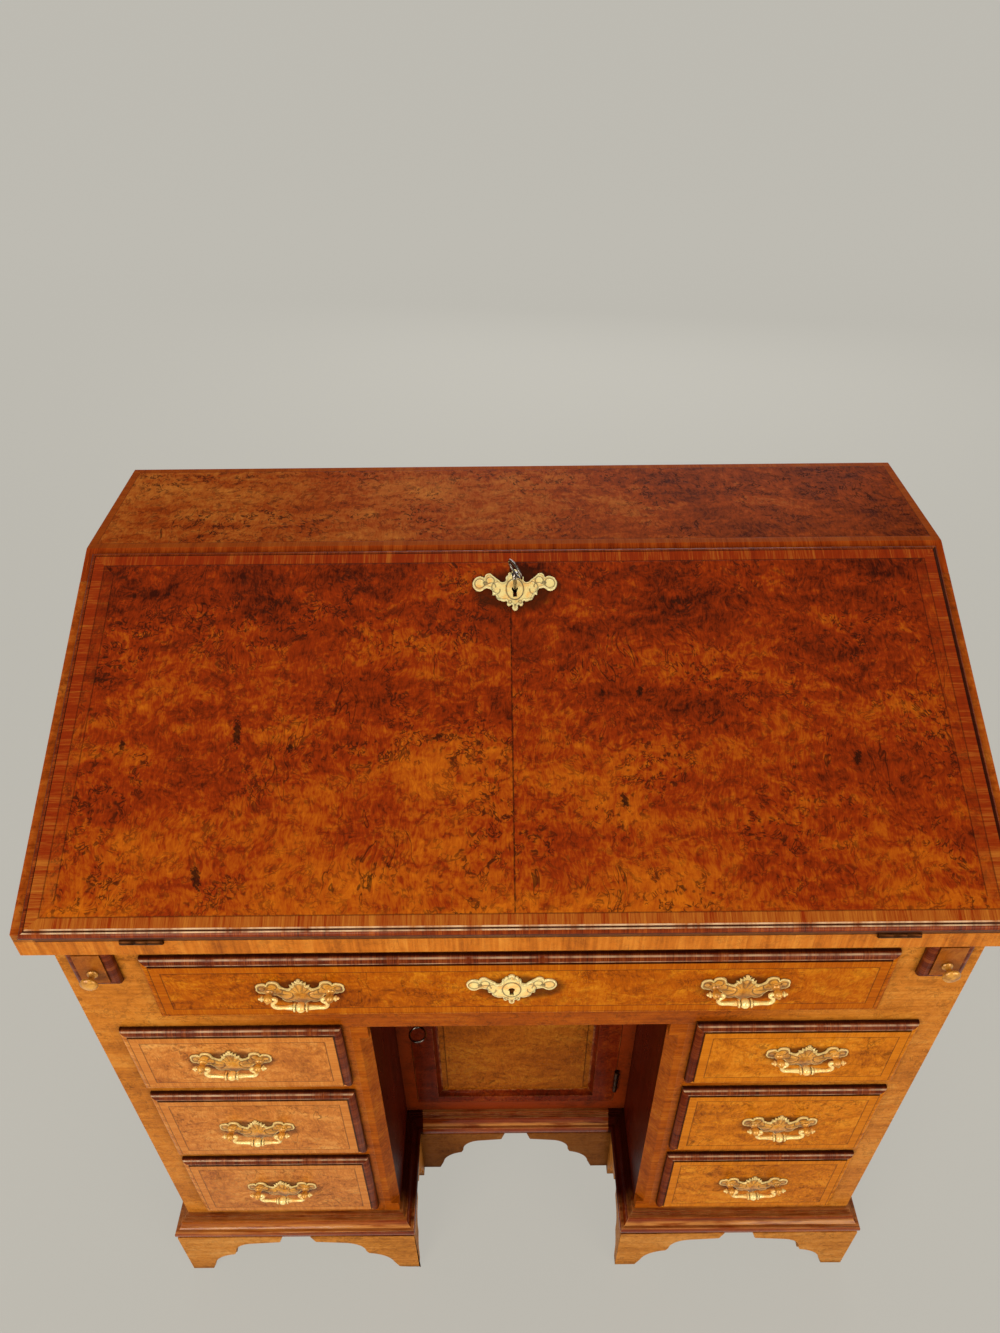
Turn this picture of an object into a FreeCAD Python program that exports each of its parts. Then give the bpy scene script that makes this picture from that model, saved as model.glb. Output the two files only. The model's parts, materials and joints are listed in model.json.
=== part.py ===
import FreeCAD, Part
import math
import os
from typing import NamedTuple

# A kneehole escritoire: a sloping desk with a fall front on a case of drawers.
# Millimetres. +Z is up, the front faces -Y, and the origin is on the floor under the
# middle of the piece's whole width and depth.

Vector = FreeCAD.Vector

# Fits shared by all pieces
fit_gap = 0.3           # between pieces that slide or close on each other
run_gap = 0.5           # beside a drawer front or fall body in its opening
pin_fit = 0.05          # round a pin, shank or key in its bore
overrun = 5.0           # how far a cutting shape passes the face it cuts

# Lower case, from the floor up
case_width = 866.0
case_depth = 514.0
side_thick = 18.0
back_thick = 12.0
back_board_count = 5
foot_height = 106.0
mould_height = 37.0
mould_out = 19.0
bottom_rail_height = 25.0
bottom_opening_height = 135.0
middle_opening_height = 133.0
top_opening_height = 105.0
rail_height = 27.0
deep_rail_height = 38.0
long_opening_height = 86.0
top_rail_height = 30.5
rail_depth = 40.0
stile_depth = 22.0
outer_stile_width = 15.0
inner_stile_width = 12.6
long_stile_width = 33.0
dust_thick = 12.0
guide_height = 20.0
runner_width = 32.0
partition_thick = 18.0

# Kneehole and the cupboard at its back
kneehole_width = 308.8
knee_side_thick = 18.0
knee_chamfer = 10.0
chamfer_stop = 22.0
recess_depth = 133.0
cupboard_frame_thick = 20.0
cupboard_stile_width = 17.4
cupboard_bottom_rail = 22.0
cupboard_top_rail = 24.0

# Bracket feet
foot_out = 18.0
foot_thick = 20.0
glue_block = 36.0
bracket_span = 157.0

# Desk above the writing bed
bed_overhang = 17.0
bed_thick = 20.0
desk_rise = 186.0
nose_height = 10.9
slope_angle = 26.2      # degrees
upper_side_thick = 20.0
top_thick = 18.0
pigeonhole_set_back = 34.7      # behind the front edge of the top's underside
pigeonhole_board = 7.0
pigeonhole_shelf_rise = 52.0
pigeonhole_columns = 6
pigeonhole_low_columns = 3

# Fall front
fall_thick = 19.5
fall_rim_width = 10.0
fall_overlap = 10.0
fall_lip_width = 12.0
fall_lip_round = 5.0
fall_lip_step = 1.5

# Cupboard door
door_thick = 18.0
door_gap = 0.6
door_stile_width = 29.0
door_bottom_rail = 15.0
door_top_rail = 40.0
panel_thick = 8.0
panel_set_back = 7.0
panel_tongue = 6.0
panel_field_margin = 14.0
panel_field_rise = 2.0
door_bead_width = 9.0
door_bead_depth = 6.0

# Drawers
lip_overlap = 5.0
lip_thick = 7.8
lip_round = 6.0
lip_field_inset = 8.0
lip_field_rise = 1.2
front_body_depth = 14.0
drawer_rear_gap = 52.0  # between a closed drawer and the back boards
drawer_side_thick = 9.0
drawer_side_drop = 8.0
drawer_back_thick = 9.0
drawer_back_drop = 14.0
drawer_bottom_thick = 6.0
drawer_bottom_rise = 4.0

# Lopers, the pull-out bearers of the open fall
loper_width = 32.0
loper_height = 59.5
loper_rear_gap = 112.0  # between a closed loper and the back boards
loper_lip_drop = 5.5
loper_runner_height = 20.0

# Loper knob, turned brass
knob_collar_radius = 5.0
knob_collar_height = 2.0
knob_stem_radius = 2.6
knob_stem_length = 8.5
knob_head_radius = 8.5
knob_head_height = 6.0
knob_shank_radius = 2.0
knob_shank_length = 14.0
knob_drop = 12.0        # below the middle of the loper's front

# Drawer handles
handle_width = 84.0
handle_height = 42.0
handle_thick = 1.6
handle_spread = 58.0    # between the two posts
post_rise = 3.0         # post above the plate's middle
post_collar_radius = 5.0
post_collar_height = 2.0
post_neck_radius = 2.8
post_ball_radius = 4.4
post_reach = 10.0       # pivot in front of the drawer's face
shank_radius = 2.0
nut_radius = 5.0
nut_thick = 3.0
bail_radius = 1.8
bail_bead_radius = 3.2
bail_finial_radius = 2.8
bail_finial_reach = 7.5
bail_pin_radius = 1.5
bail_shoulder_radius = 2.4
bail_neck_radius = 3.4
bail_neck_angle = 60.0  # degrees
bail_belly_radius = 5.2
long_left_handle_place = 209.0      # from the drawer's middle
long_right_handle_place = 215.0
top_handle_out = 6.0                # outward from the middle of the drawer, and up
top_handle_rise = 5.0
middle_handle_out = 4.5
bottom_handle_rise = 3.0

# Escutcheons
escutcheon_width = 86.0
escutcheon_height = 48.0
escutcheon_thick = 1.6
keyhole_radius = 3.2
keyhole_slot_width = 3.4
keyhole_slot_length = 9.0

# Locks and keys
lock_width = 64.0
lock_thick = 9.0
lock_plate_thick = 1.5
main_lock_height = 56.0     # the fall's and long drawer's locks
main_bolt_length = 15.0
main_key_drop = 40.5        # keyhole below the lock's top edge
main_key_reach = 33.0       # the key's shaft in front of the face
fall_key_turn = 32.0        # degrees, as the key was left in its lock
drawer_lock_shift = -7.6    # from the long drawer's middle
door_bolt_length = 7.0
door_key_drop = 15.0
door_key_reach = 21.0
door_key_turn = 0.0         # degrees, so that the door key's bow lies level
bolt_width = 26.0
bolt_thick = 3.0
bolt_set_back = 0.5
bolt_throw = 6.0
bolt_mortise_extra = 2.0
key_radius = 2.2
key_collar_radius = 3.4
key_collar_height = 3.0
key_bow_radius = 12.0
key_bow_hole_radius = 8.4
key_bow_thick = 3.0
key_bit_length = 4.0
key_bit_reach = 7.0
key_bit_thick = 2.0
door_key_rise = 33.5    # above the middle of the door

# Hinges
fall_hinge_length = 38.0
fall_hinge_radius = 3.4
fall_hinge_pin_radius = 1.4
fall_hinge_leaf = 30.0
fall_hinge_thick = 2.0
fall_hinge_place = 336.0
door_hinge_length = 50.0
door_hinge_radius = 3.0
door_hinge_pin_radius = 1.3
door_hinge_leaf = 15.0
door_hinge_thick = 1.2
door_hinge_inset = 60.0
knuckle_gap = 0.2

# Derived places. The loper knobs stand furthest forward, so they set the whole depth.
front_reach = fit_gap + lip_thick + lip_field_rise + knob_stem_length + knob_head_height
front = -(case_depth - front_reach) / 2
rear = front + case_depth
inner_back = rear - back_thick
drawer_end = inner_back - drawer_rear_gap
loper_end = inner_back - loper_rear_gap
case_half = case_width / 2
side_inner = case_half - side_thick
knee_half = kneehole_width / 2
knee_outer = knee_half + knee_side_thick
recess = front + recess_depth
mould_top = foot_height + mould_height
pedestal_left = knee_outer + inner_stile_width
pedestal_right = side_inner - outer_stile_width
bottom_row = mould_top + bottom_rail_height
middle_row = bottom_row + bottom_opening_height + rail_height
top_row = middle_row + middle_opening_height + rail_height
deep_rail_bottom = top_row + top_opening_height
long_row = deep_rail_bottom + deep_rail_height
long_row_top = long_row + long_opening_height
bed_underside = long_row_top + top_rail_height
bed_top = bed_underside + bed_thick
bed_half = case_half + bed_overhang
upper_inner = bed_half - upper_side_thick
top_z = bed_top + desk_rise
top_underside = top_z - top_thick
loper_inner = side_inner - loper_width
loper_middle = side_inner - loper_width / 2
loper_bottom = bed_underside - loper_height
long_half = loper_inner - long_stile_width
frame_back = front + rail_depth
dust_top = deep_rail_bottom + dust_thick

# Slope of the desk, measured from the fall's hinge line along the bed's top front edge
axis_y = front - bed_overhang
axis_z = bed_top
slope = math.radians(slope_angle)
slope_direction = Vector(0, math.cos(slope), math.sin(slope))
fall_inset = nose_height * math.cos(slope)
top_along = nose_height * math.sin(slope) + (desk_rise - nose_height) / math.sin(slope)
lip_top_along = top_along - fall_rim_width
body_top_along = lip_top_along - fall_overlap
lip_half = bed_half - fall_rim_width
body_half = upper_inner - run_gap

# Cupboard door
door_half = knee_half - cupboard_stile_width - door_gap
door_bottom = mould_top + cupboard_bottom_rail + door_gap
door_top = deep_rail_bottom - cupboard_top_rail - door_gap
door_hinge_x = knee_half - cupboard_stile_width - door_gap / 2
door_hinge_y = recess - door_hinge_radius
door_key_z = (door_bottom + door_top) / 2 + door_key_rise
door_lock_height = door_stile_width - panel_tongue

right = Vector(1, 0, 0)
up = Vector(0, 0, 1)

# Outlines as shares: a pair is a corner, two pairs are an arc's middle and end
mould_shares = [
    (0, 0), (0.90, 0), (0.90, 0.08), ((1.0, 0.26), (0.90, 0.44)), (0.72, 0.44),
    ((0.52, 0.58), (0.46, 0.80)), (0.28, 0.80), (0.28, 0.90), (0.20, 0.90), (0.20, 1), (0, 1),
]
bracket_shares = [
    (0, 0), (0.176, 0), (0.216, 0.16), ((0.30, 0.38), (0.42, 0.46)), (0.44, 0.53),
    ((0.49, 0.72), (0.60, 0.80)), (0.85, 0.84), (0.885, 1), (0, 1),
]
handle_shares = [
    (0, 0.46), ((0.06, 0.50), (0.11, 0.44)), ((0.17, 0.47), (0.22, 0.39)),
    ((0.36, 0.44), (0.50, 0.33)), ((0.68, 0.40), (0.82, 0.22)), ((0.96, 0.20), (1.0, 0.04)),
    ((0.92, -0.11), (0.78, -0.10)), ((0.66, -0.28), (0.46, -0.28)),
    ((0.34, -0.41), (0.20, -0.37)), ((0.12, -0.48), (0, -0.50)),
]
escutcheon_shares = [
    (0, 0.50), ((0.16, 0.46), (0.22, 0.33)), ((0.40, 0.16), (0.60, 0.25)),
    ((0.84, 0.40), (1.0, 0.20)), ((0.93, 0.02), (0.78, 0.09)), ((0.64, -0.12), (0.42, -0.13)),
    ((0.30, -0.30), (0.13, -0.33)), ((0.12, -0.45), (0, -0.50)),
]


class Hinge(NamedTuple):
    """Sizes of a butt hinge whose pin lies along local X, with its leaves along +Y."""

    length: float
    radius: float
    pin_radius: float
    leaf: float
    thick: float


fall_hinge = Hinge(
    fall_hinge_length, fall_hinge_radius, fall_hinge_pin_radius, fall_hinge_leaf, fall_hinge_thick)
door_hinge = Hinge(
    door_hinge_length, door_hinge_radius, door_hinge_pin_radius, door_hinge_leaf, door_hinge_thick)


class Lock(NamedTuple):
    """Sizes of a lock let in from behind, with its bolt along +Y."""

    height: float
    bolt_length: float
    key_drop: float
    key_reach: float


main_lock = Lock(main_lock_height, main_bolt_length, main_key_drop, main_key_reach)
door_lock = Lock(door_lock_height, door_bolt_length, door_key_drop, door_key_reach)


# Shared shapes

def box(x0, x1, y0, y1, z0, z1):
    """A board between two corners."""
    return Part.makeBox(x1 - x0, y1 - y0, z1 - z0, Vector(x0, y0, z0))


def rod(radius, start, end):
    """A round bar from one point to another."""
    return Part.makeCylinder(radius, start.distanceToPoint(end), start, end - start)


def group(solids):
    """Several separate solids as one node's shape."""
    return Part.Compound(solids)


def both_sides(solid):
    """A solid and its mirror image on the other side of the middle."""
    return [solid, solid.mirror(Vector(0, 0, 0), right)]


def outline_face(steps, place):
    """A face bounded by straight and arc steps, where place turns a share pair into a point."""
    last = place(*steps[0])
    first = last
    edges = []
    for step in steps[1:]:
        if isinstance(step[0], tuple):
            end = place(*step[1])
            edges.append(Part.Arc(last, place(*step[0]), end).toShape())
        else:
            end = place(*step)
            edges.append(Part.makeLine(last, end))
        last = end
    if last.distanceToPoint(first) > pin_fit:
        edges.append(Part.makeLine(last, first))
    return Part.Face(Part.Wire(edges))


def prism(points, travel):
    """A solid swept from a polygon of points along a vector."""
    return Part.Face(Part.makePolygon(points + points[:1])).extrude(travel)


def plan_prism(points, z0, z1):
    """An upright solid over a plan polygon given as x, y pairs."""
    return prism([Vector(x, y, z0) for x, y in points], Vector(0, 0, z1 - z0))


def profile_prism(points, x0, x1):
    """A solid of constant y, z section given as pairs, running from x0 to x1."""
    return prism([Vector(x0, y, z) for y, z in points], Vector(x1 - x0, 0, 0))


def placed(shape, origin, x_direction, y_direction):
    """A copy of a shape drawn on X and Y, set on a face with Z pointing out of it."""
    turn = FreeCAD.Rotation(x_direction, y_direction, x_direction.cross(y_direction), "ZXY")
    copy = shape.copy()
    copy.Placement = FreeCAD.Placement(origin, turn).multiply(copy.Placement)
    return copy


def on_slope(shape):
    """A shape drawn with Y up the slope and Z out of it, set at the fall's hinge line."""
    return placed(shape, Vector(0, axis_y, axis_z), right, slope_direction)


def on_front(shape, x, y, z):
    """A shape drawn with Y up and Z outward, set on a front face."""
    return placed(shape, Vector(x, y, z), right, up)


def mirrored_outline(steps, half_width, height, thick):
    """A flat plate whose right half follows share steps of its half width and height."""
    def place(a, b):
        return Vector(a * half_width, b * height, 0)

    half = outline_face(steps, place).extrude(Vector(0, 0, thick))
    other = half.mirror(Vector(0, 0, 0), right)
    return half.fuse(other).removeSplitter()


# Hinges

def middle_third(hinge):
    """Where the moving knuckle starts and ends along the pin."""
    return -hinge.length / 6, hinge.length / 6


def fixed_leaf(hinge, z0, z1):
    """The leaf that carries the pin and the two end knuckles."""
    start, end = middle_third(hinge)
    half = hinge.length / 2
    leaf = box(-half, half, 0, hinge.leaf, z0, z1)
    leaf = leaf.cut(rod(hinge.radius + fit_gap, Vector(start, 0, 0), Vector(end, 0, 0)))
    pin = rod(hinge.pin_radius, Vector(-half, 0, 0), Vector(half, 0, 0))
    left = rod(hinge.radius, Vector(-half, 0, 0), Vector(start, 0, 0))
    other = rod(hinge.radius, Vector(end, 0, 0), Vector(half, 0, 0))
    return leaf.fuse([pin, left, other]).removeSplitter()


def moving_leaf(hinge, z0, z1):
    """The leaf with the middle knuckle, bored to turn on the pin."""
    start, end = middle_third(hinge)
    half = hinge.length / 2
    inner = start + knuckle_gap
    outer = end - knuckle_gap
    leaf = box(-half, half, 0, hinge.leaf, z0, z1)
    clear = hinge.radius + fit_gap
    leaf = leaf.cut(rod(clear, Vector(-half - overrun, 0, 0), Vector(inner, 0, 0)))
    leaf = leaf.cut(rod(clear, Vector(outer, 0, 0), Vector(half + overrun, 0, 0)))
    knuckle = rod(hinge.radius, Vector(inner, 0, 0), Vector(outer, 0, 0))
    bore = rod(hinge.pin_radius + pin_fit, Vector(-half, 0, 0), Vector(half, 0, 0))
    return leaf.fuse(knuckle).cut(bore).removeSplitter()


def hinge_pocket(hinge, z0, z1):
    """The wood cut away for one leaf and for the barrel."""
    half = hinge.length / 2
    leaf = box(-half, half, 0, hinge.leaf, z0, z1)
    barrel = rod(hinge.radius + fit_gap, Vector(-half - fit_gap, 0, 0), Vector(half + fit_gap, 0, 0))
    return leaf.fuse(barrel)


def at_fall_hinges(shape):
    """Copies of a shape at the two hinge places along the hinge line."""
    return [shape.translated(Vector(side * fall_hinge_place, 0, 0)) for side in (-1, 1)]


def at_door_hinges(shape):
    """Copies of a hinge shape stood upright at the door's two hinge places."""
    heights = (door_bottom + door_hinge_inset, door_top - door_hinge_inset)
    back = Vector(0, 1, 0)
    return [placed(shape, Vector(door_hinge_x, door_hinge_y, z), up, back) for z in heights]


# Locks, keys and plates, drawn with Y up the face and Z out of it

def bolt_z():
    """Height of the bolt's back above the lock's back."""
    return (lock_thick - bolt_thick) / 2


def lock_pocket(lock):
    """The wood cut away for a lock's case."""
    return box(-lock_width / 2, lock_width / 2, -lock.height, 0, -overrun, lock_thick)


def lock_case(lock):
    """A lock's case: its top edge is at Y 0 and its back at Z 0."""
    case = box(-lock_width / 2, lock_width / 2, -lock.height, 0, 0, lock_thick)
    slot_half = bolt_width / 2 + fit_gap
    slot = box(-slot_half, slot_half, -bolt_set_back - lock.bolt_length - fit_gap, overrun,
               bolt_z() - fit_gap, bolt_z() + bolt_thick + fit_gap)
    start = Vector(0, -lock.key_drop, lock_plate_thick)
    cavity = rod(key_bit_reach + fit_gap, start, start + Vector(0, 0, key_bit_length + fit_gap))
    bore = rod(key_radius + pin_fit, start, start + Vector(0, 0, lock_thick))
    return case.cut(slot).cut(cavity).cut(bore)


def lock_bolt(lock):
    """The bolt, withdrawn into its case."""
    half = bolt_width / 2
    tail = bolt_set_back + lock.bolt_length
    return box(-half, half, -tail, -bolt_set_back, bolt_z(), bolt_z() + bolt_thick)


def bolt_mortise():
    """The hole that the thrown bolt enters."""
    half = bolt_width / 2 + fit_gap
    depth = bolt_throw + bolt_mortise_extra
    return box(-half, half, -overrun, depth, bolt_z() - fit_gap, bolt_z() + bolt_thick + fit_gap)


def lock_key(lock, face_z, turn):
    """A key in its lock: bit inside, shaft through the wood, and a ring bow in front."""
    start = lock_plate_thick + fit_gap / 2
    shaft_end = face_z + lock.key_reach
    middle = Vector(0, -lock.key_drop, 0)
    shaft = rod(key_radius, Vector(0, 0, start), Vector(0, 0, shaft_end))
    bit = box(-key_bit_thick / 2, key_bit_thick / 2, -key_bit_reach, 0, start, start + key_bit_length)
    collar = rod(key_collar_radius, Vector(0, 0, shaft_end - key_collar_height), Vector(0, 0, shaft_end))
    bow_middle = Vector(-key_bow_thick / 2, 0, shaft_end + key_bow_hole_radius)
    bow = Part.makeCylinder(key_bow_radius, key_bow_thick, bow_middle, right)
    hole = Part.makeCylinder(key_bow_hole_radius, key_bow_thick, bow_middle, right)
    key = shaft.fuse([bit, collar, bow.cut(hole)]).removeSplitter()
    return key.rotated(Vector(0, 0, 0), up, turn).translated(middle)


def key_passage(lock, start, end):
    """The hole for the key's shaft through the wood in front of the lock."""
    middle = Vector(0, -lock.key_drop, 0)
    return rod(keyhole_radius, middle + Vector(0, 0, start), middle + Vector(0, 0, end))


def escutcheon():
    """A pierced keyhole plate with its keyhole at the middle."""
    plate = mirrored_outline(escutcheon_shares, escutcheon_width / 2, escutcheon_height, escutcheon_thick)
    past = Vector(0, 0, escutcheon_thick + overrun)
    hole = rod(keyhole_radius, Vector(0, 0, -overrun), past)
    half = keyhole_slot_width / 2
    slot = box(-half, half, -keyhole_slot_length, 0, -overrun, escutcheon_thick + overrun)
    return plate.cut(hole).cut(slot)


# Drawer handles, drawn with Y up and Z outward from the drawer's face

def handle_posts():
    """The posts' middles on the plate."""
    return [Vector(side * handle_spread / 2, post_rise, 0) for side in (-1, 1)]


def handle_plate(wood_depth):
    """The plate, two bored posts with shanks through the wood, and a nut behind each."""
    plate = mirrored_outline(handle_shares, handle_width / 2, handle_height, handle_thick)
    solids = []
    for foot in handle_posts():
        through = Vector(0, 0, wood_depth + nut_thick)
        shank_hole = rod(shank_radius + pin_fit, foot - through, foot + Vector(0, 0, overrun))
        plate = plate.cut(shank_hole)
        seat = foot + Vector(0, 0, handle_thick)
        pivot = foot + Vector(0, 0, post_reach)
        collar = rod(post_collar_radius, seat, seat + Vector(0, 0, post_collar_height))
        neck = rod(post_neck_radius, seat, pivot)
        ball = Part.makeSphere(post_ball_radius, pivot)
        shank = rod(shank_radius, foot - through, seat)
        reach = Vector(post_ball_radius + overrun, 0, 0)
        bore = rod(bail_pin_radius + pin_fit, pivot - reach, pivot + reach)
        solids.append(collar.fuse([neck, ball, shank]).cut(bore).removeSplitter())
        nut = rod(nut_radius, foot - through, foot - Vector(0, 0, wood_depth))
        solids.append(nut.cut(shank_hole))
    return group([plate] + solids)


def bail_half_path():
    """The right half of the bail's bend, from inside its post down to the middle."""
    start = Vector(handle_spread / 2 - post_ball_radius - fit_gap, 0, 0)
    angle = math.radians(bail_neck_angle)
    diagonal = math.sqrt(1 / 2)
    hang = start + Vector(-bail_shoulder_radius, -bail_shoulder_radius, 0)
    shoulder = start + Vector(-bail_shoulder_radius * diagonal, -bail_shoulder_radius * (1 - diagonal), 0)
    neck_middle = hang + Vector(bail_neck_radius, 0, 0)

    def on_neck(turn):
        return neck_middle + Vector(-math.cos(turn), -math.sin(turn), 0) * bail_neck_radius

    neck_end = on_neck(angle)
    belly_middle = neck_end + Vector(-math.cos(angle), -math.sin(angle), 0) * bail_belly_radius
    belly_turn = (angle + math.pi / 2) / 2
    toward = angle - belly_turn
    belly = belly_middle + Vector(math.cos(toward), math.sin(toward), 0) * bail_belly_radius
    low = belly_middle - Vector(0, bail_belly_radius, 0)
    return [
        Part.Arc(start, shoulder, hang).toShape(),
        Part.Arc(hang, on_neck(angle / 2), neck_end).toShape(),
        Part.Arc(neck_end, belly, low).toShape(),
        Part.makeLine(low, Vector(0, low.y, 0)),
    ]


def bail():
    """A swan-neck bail whose pins turn in the two posts, with a bead at the middle."""
    edges = bail_half_path()
    start = edges[0].Vertexes[0].Point
    low = edges[-1].Vertexes[-1].Point
    ring = Part.Wire(Part.makeCircle(bail_radius, start, right))
    half = Part.Wire(edges).makePipeShell([ring], True, True)
    tip = start + Vector(2 * (post_ball_radius + fit_gap), 0, 0)
    pin = rod(bail_pin_radius, start, tip)
    finial_end = tip + Vector(bail_finial_reach - bail_finial_radius, 0, 0)
    finial = Part.makeCone(bail_finial_radius, bail_pin_radius, finial_end.x - tip.x, tip, right)
    half = half.fuse(pin).fuse(finial)
    other = half.mirror(Vector(0, 0, 0), right)
    bead = Part.makeSphere(bail_bead_radius, low, right)
    whole = half.fuse(other).fuse(bead).removeSplitter()
    return whole.translated(Vector(0, post_rise, post_reach))


# Lower case

def outer_sides():
    """The two case sides."""
    return group(both_sides(box(side_inner, case_half, front, rear, foot_height, bed_underside)))


def kneehole_sides():
    """The inner sides of the pedestals, with a stopped chamfer on the kneehole's front edge."""
    side = box(knee_half, knee_outer, front, inner_back, foot_height, deep_rail_bottom)
    corner = [(knee_half, front), (knee_half + knee_chamfer, front), (knee_half, front + knee_chamfer)]
    chamfer = plan_prism(corner, mould_top + chamfer_stop, deep_rail_bottom - chamfer_stop)
    return group(both_sides(side.cut(chamfer)))


def back_boards():
    """Upright boards closing the lower case, and one board closing the desk."""
    width = 2 * side_inner / back_board_count
    boards = []
    for index in range(back_board_count):
        x = index * width - side_inner
        boards.append(box(x, x + width, inner_back, rear, foot_height, bed_underside))
    boards.append(box(-upper_inner, upper_inner, inner_back, rear, bed_top, top_underside))
    return group(boards)


def pedestal_rows():
    """Bottom and height of each pedestal drawer opening, with its name."""
    return [
        ("bottom", bottom_row, bottom_opening_height),
        ("middle", middle_row, middle_opening_height),
        ("top", top_row, top_opening_height),
    ]


def face_frame():
    """Stiles and rails round the drawers and lopers, and the cupboard's frame."""
    stile_back = front + stile_depth
    half = [
        box(pedestal_right, side_inner, front, stile_back, foot_height, deep_rail_bottom),
        box(knee_outer, pedestal_left, front, stile_back, foot_height, deep_rail_bottom),
        box(pedestal_left, pedestal_right, front, stile_back, foot_height, bottom_row),
        box(long_half, loper_inner, front, stile_back, long_row, bed_underside),
        box(loper_inner, side_inner, front, frame_back, long_row, loper_bottom),
    ]
    for name, bottom, height in pedestal_rows()[1:]:
        half.append(box(pedestal_left, pedestal_right, front, frame_back, bottom - rail_height, bottom))
    frame_rear = recess + cupboard_frame_thick
    stile_inner = knee_half - cupboard_stile_width
    stile = box(stile_inner, knee_half, recess, frame_rear, foot_height, deep_rail_bottom)
    half.append(stile)
    solids = [solid for piece in half for solid in both_sides(piece)]
    for pocket in at_door_hinges(hinge_pocket(door_hinge, -door_hinge_thick - fit_gap / 2, 0)):
        solids = [solid.cut(pocket) if solid.distToShape(pocket)[0] == 0 else solid for solid in solids]
    mortise = door_lock_place(bolt_mortise())
    solids = [solid.cut(mortise) if solid.distToShape(mortise)[0] == 0 else solid for solid in solids]
    top_rail = box(-long_half, long_half, front, frame_back, long_row_top, bed_underside)
    solids.append(top_rail.cut(drawer_lock_place(bolt_mortise())))
    solids.append(box(-side_inner, side_inner, front, frame_back, deep_rail_bottom, long_row))
    solids.append(box(-stile_inner, stile_inner, recess, frame_rear,
                      foot_height, mould_top + cupboard_bottom_rail))
    solids.append(box(-stile_inner, stile_inner, recess, frame_rear,
                      deep_rail_bottom - cupboard_top_rail, deep_rail_bottom))
    return group(solids)


def dust_boards():
    """Boards the drawers run on, their guides, the loper partitions and the cupboard's floor."""
    half = []
    for name, bottom, height in pedestal_rows():
        start = front + stile_depth if name == "bottom" else frame_back
        half.append(box(knee_outer, side_inner, start, inner_back, bottom - dust_thick, bottom))
        half.append(box(knee_outer, pedestal_left, frame_back, inner_back, bottom, bottom + guide_height))
        half.append(box(pedestal_right, side_inner, frame_back, inner_back, bottom, bottom + guide_height))
    partition = loper_inner - partition_thick
    half.append(box(long_half - runner_width, long_half, frame_back, inner_back, dust_top, long_row))
    half.append(box(long_half, partition, frame_back, inner_back, dust_top, long_row + guide_height))
    half.append(box(partition, loper_inner, frame_back, inner_back, dust_top, bed_underside))
    half.append(box(loper_inner, side_inner, frame_back, inner_back,
                    loper_bottom - loper_runner_height, loper_bottom))
    solids = [solid for piece in half for solid in both_sides(piece)]
    solids.append(box(-side_inner, side_inner, frame_back, inner_back, deep_rail_bottom, dust_top))
    floor_top = mould_top + cupboard_bottom_rail
    solids.append(box(-knee_half, knee_half, recess + cupboard_frame_thick, inner_back,
                      floor_top - dust_thick, floor_top))
    return group(solids)


def base_moulding():
    """Mitred lengths round the case, through the kneehole and across its recess."""
    edge = case_half + mould_out
    gap = knee_half - mould_out
    face = front - mould_out
    back_face = recess - mould_out

    def along_x(y, x0, x1):
        shape = outline_face(mould_shares, lambda a, b: Vector(
            x0, y - a * mould_out, foot_height + b * mould_height))
        return shape.extrude(Vector(x1 - x0, 0, 0))

    def along_y(x, side, y0, y1):
        shape = outline_face(mould_shares, lambda a, b: Vector(
            x + side * a * mould_out, y0, foot_height + b * mould_height))
        return shape.extrude(Vector(0, y1 - y0, 0))

    def mitred(bar, plan):
        return bar.common(plan_prism(plan, foot_height, mould_top))

    front_plan = [(knee_half, front), (gap, face), (edge, face), (case_half, front)]
    side_plan = [(case_half, front), (edge, face), (edge, rear), (case_half, rear)]
    knee_plan = [(knee_half, front), (gap, face), (gap, back_face), (knee_half, recess)]
    half = [
        mitred(along_x(front, gap, edge), front_plan),
        mitred(along_y(case_half, 1, face, rear), side_plan),
        mitred(along_y(knee_half, -1, face, recess), knee_plan),
    ]
    recess_plan = [(-knee_half, recess), (-gap, back_face), (gap, back_face), (knee_half, recess)]
    across = mitred(along_x(recess, -knee_half, knee_half), recess_plan)
    return group([solid for piece in half for solid in both_sides(piece)] + [across])


def bracket(corner, along, inward, span, mitre):
    """A shaped foot bracket from its corner along one way, with its thickness inward."""
    def place(a, b):
        return corner + along * (a * span) + Vector(0, 0, b * foot_height)

    plate = outline_face(bracket_shares, place).extrude(inward * foot_thick)
    if not mitre:
        return plate
    far = corner + along * span
    points = [corner, far, far + inward * foot_thick, corner + (along + inward) * foot_thick]
    return plate.common(prism(points, Vector(0, 0, foot_height)))


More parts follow.
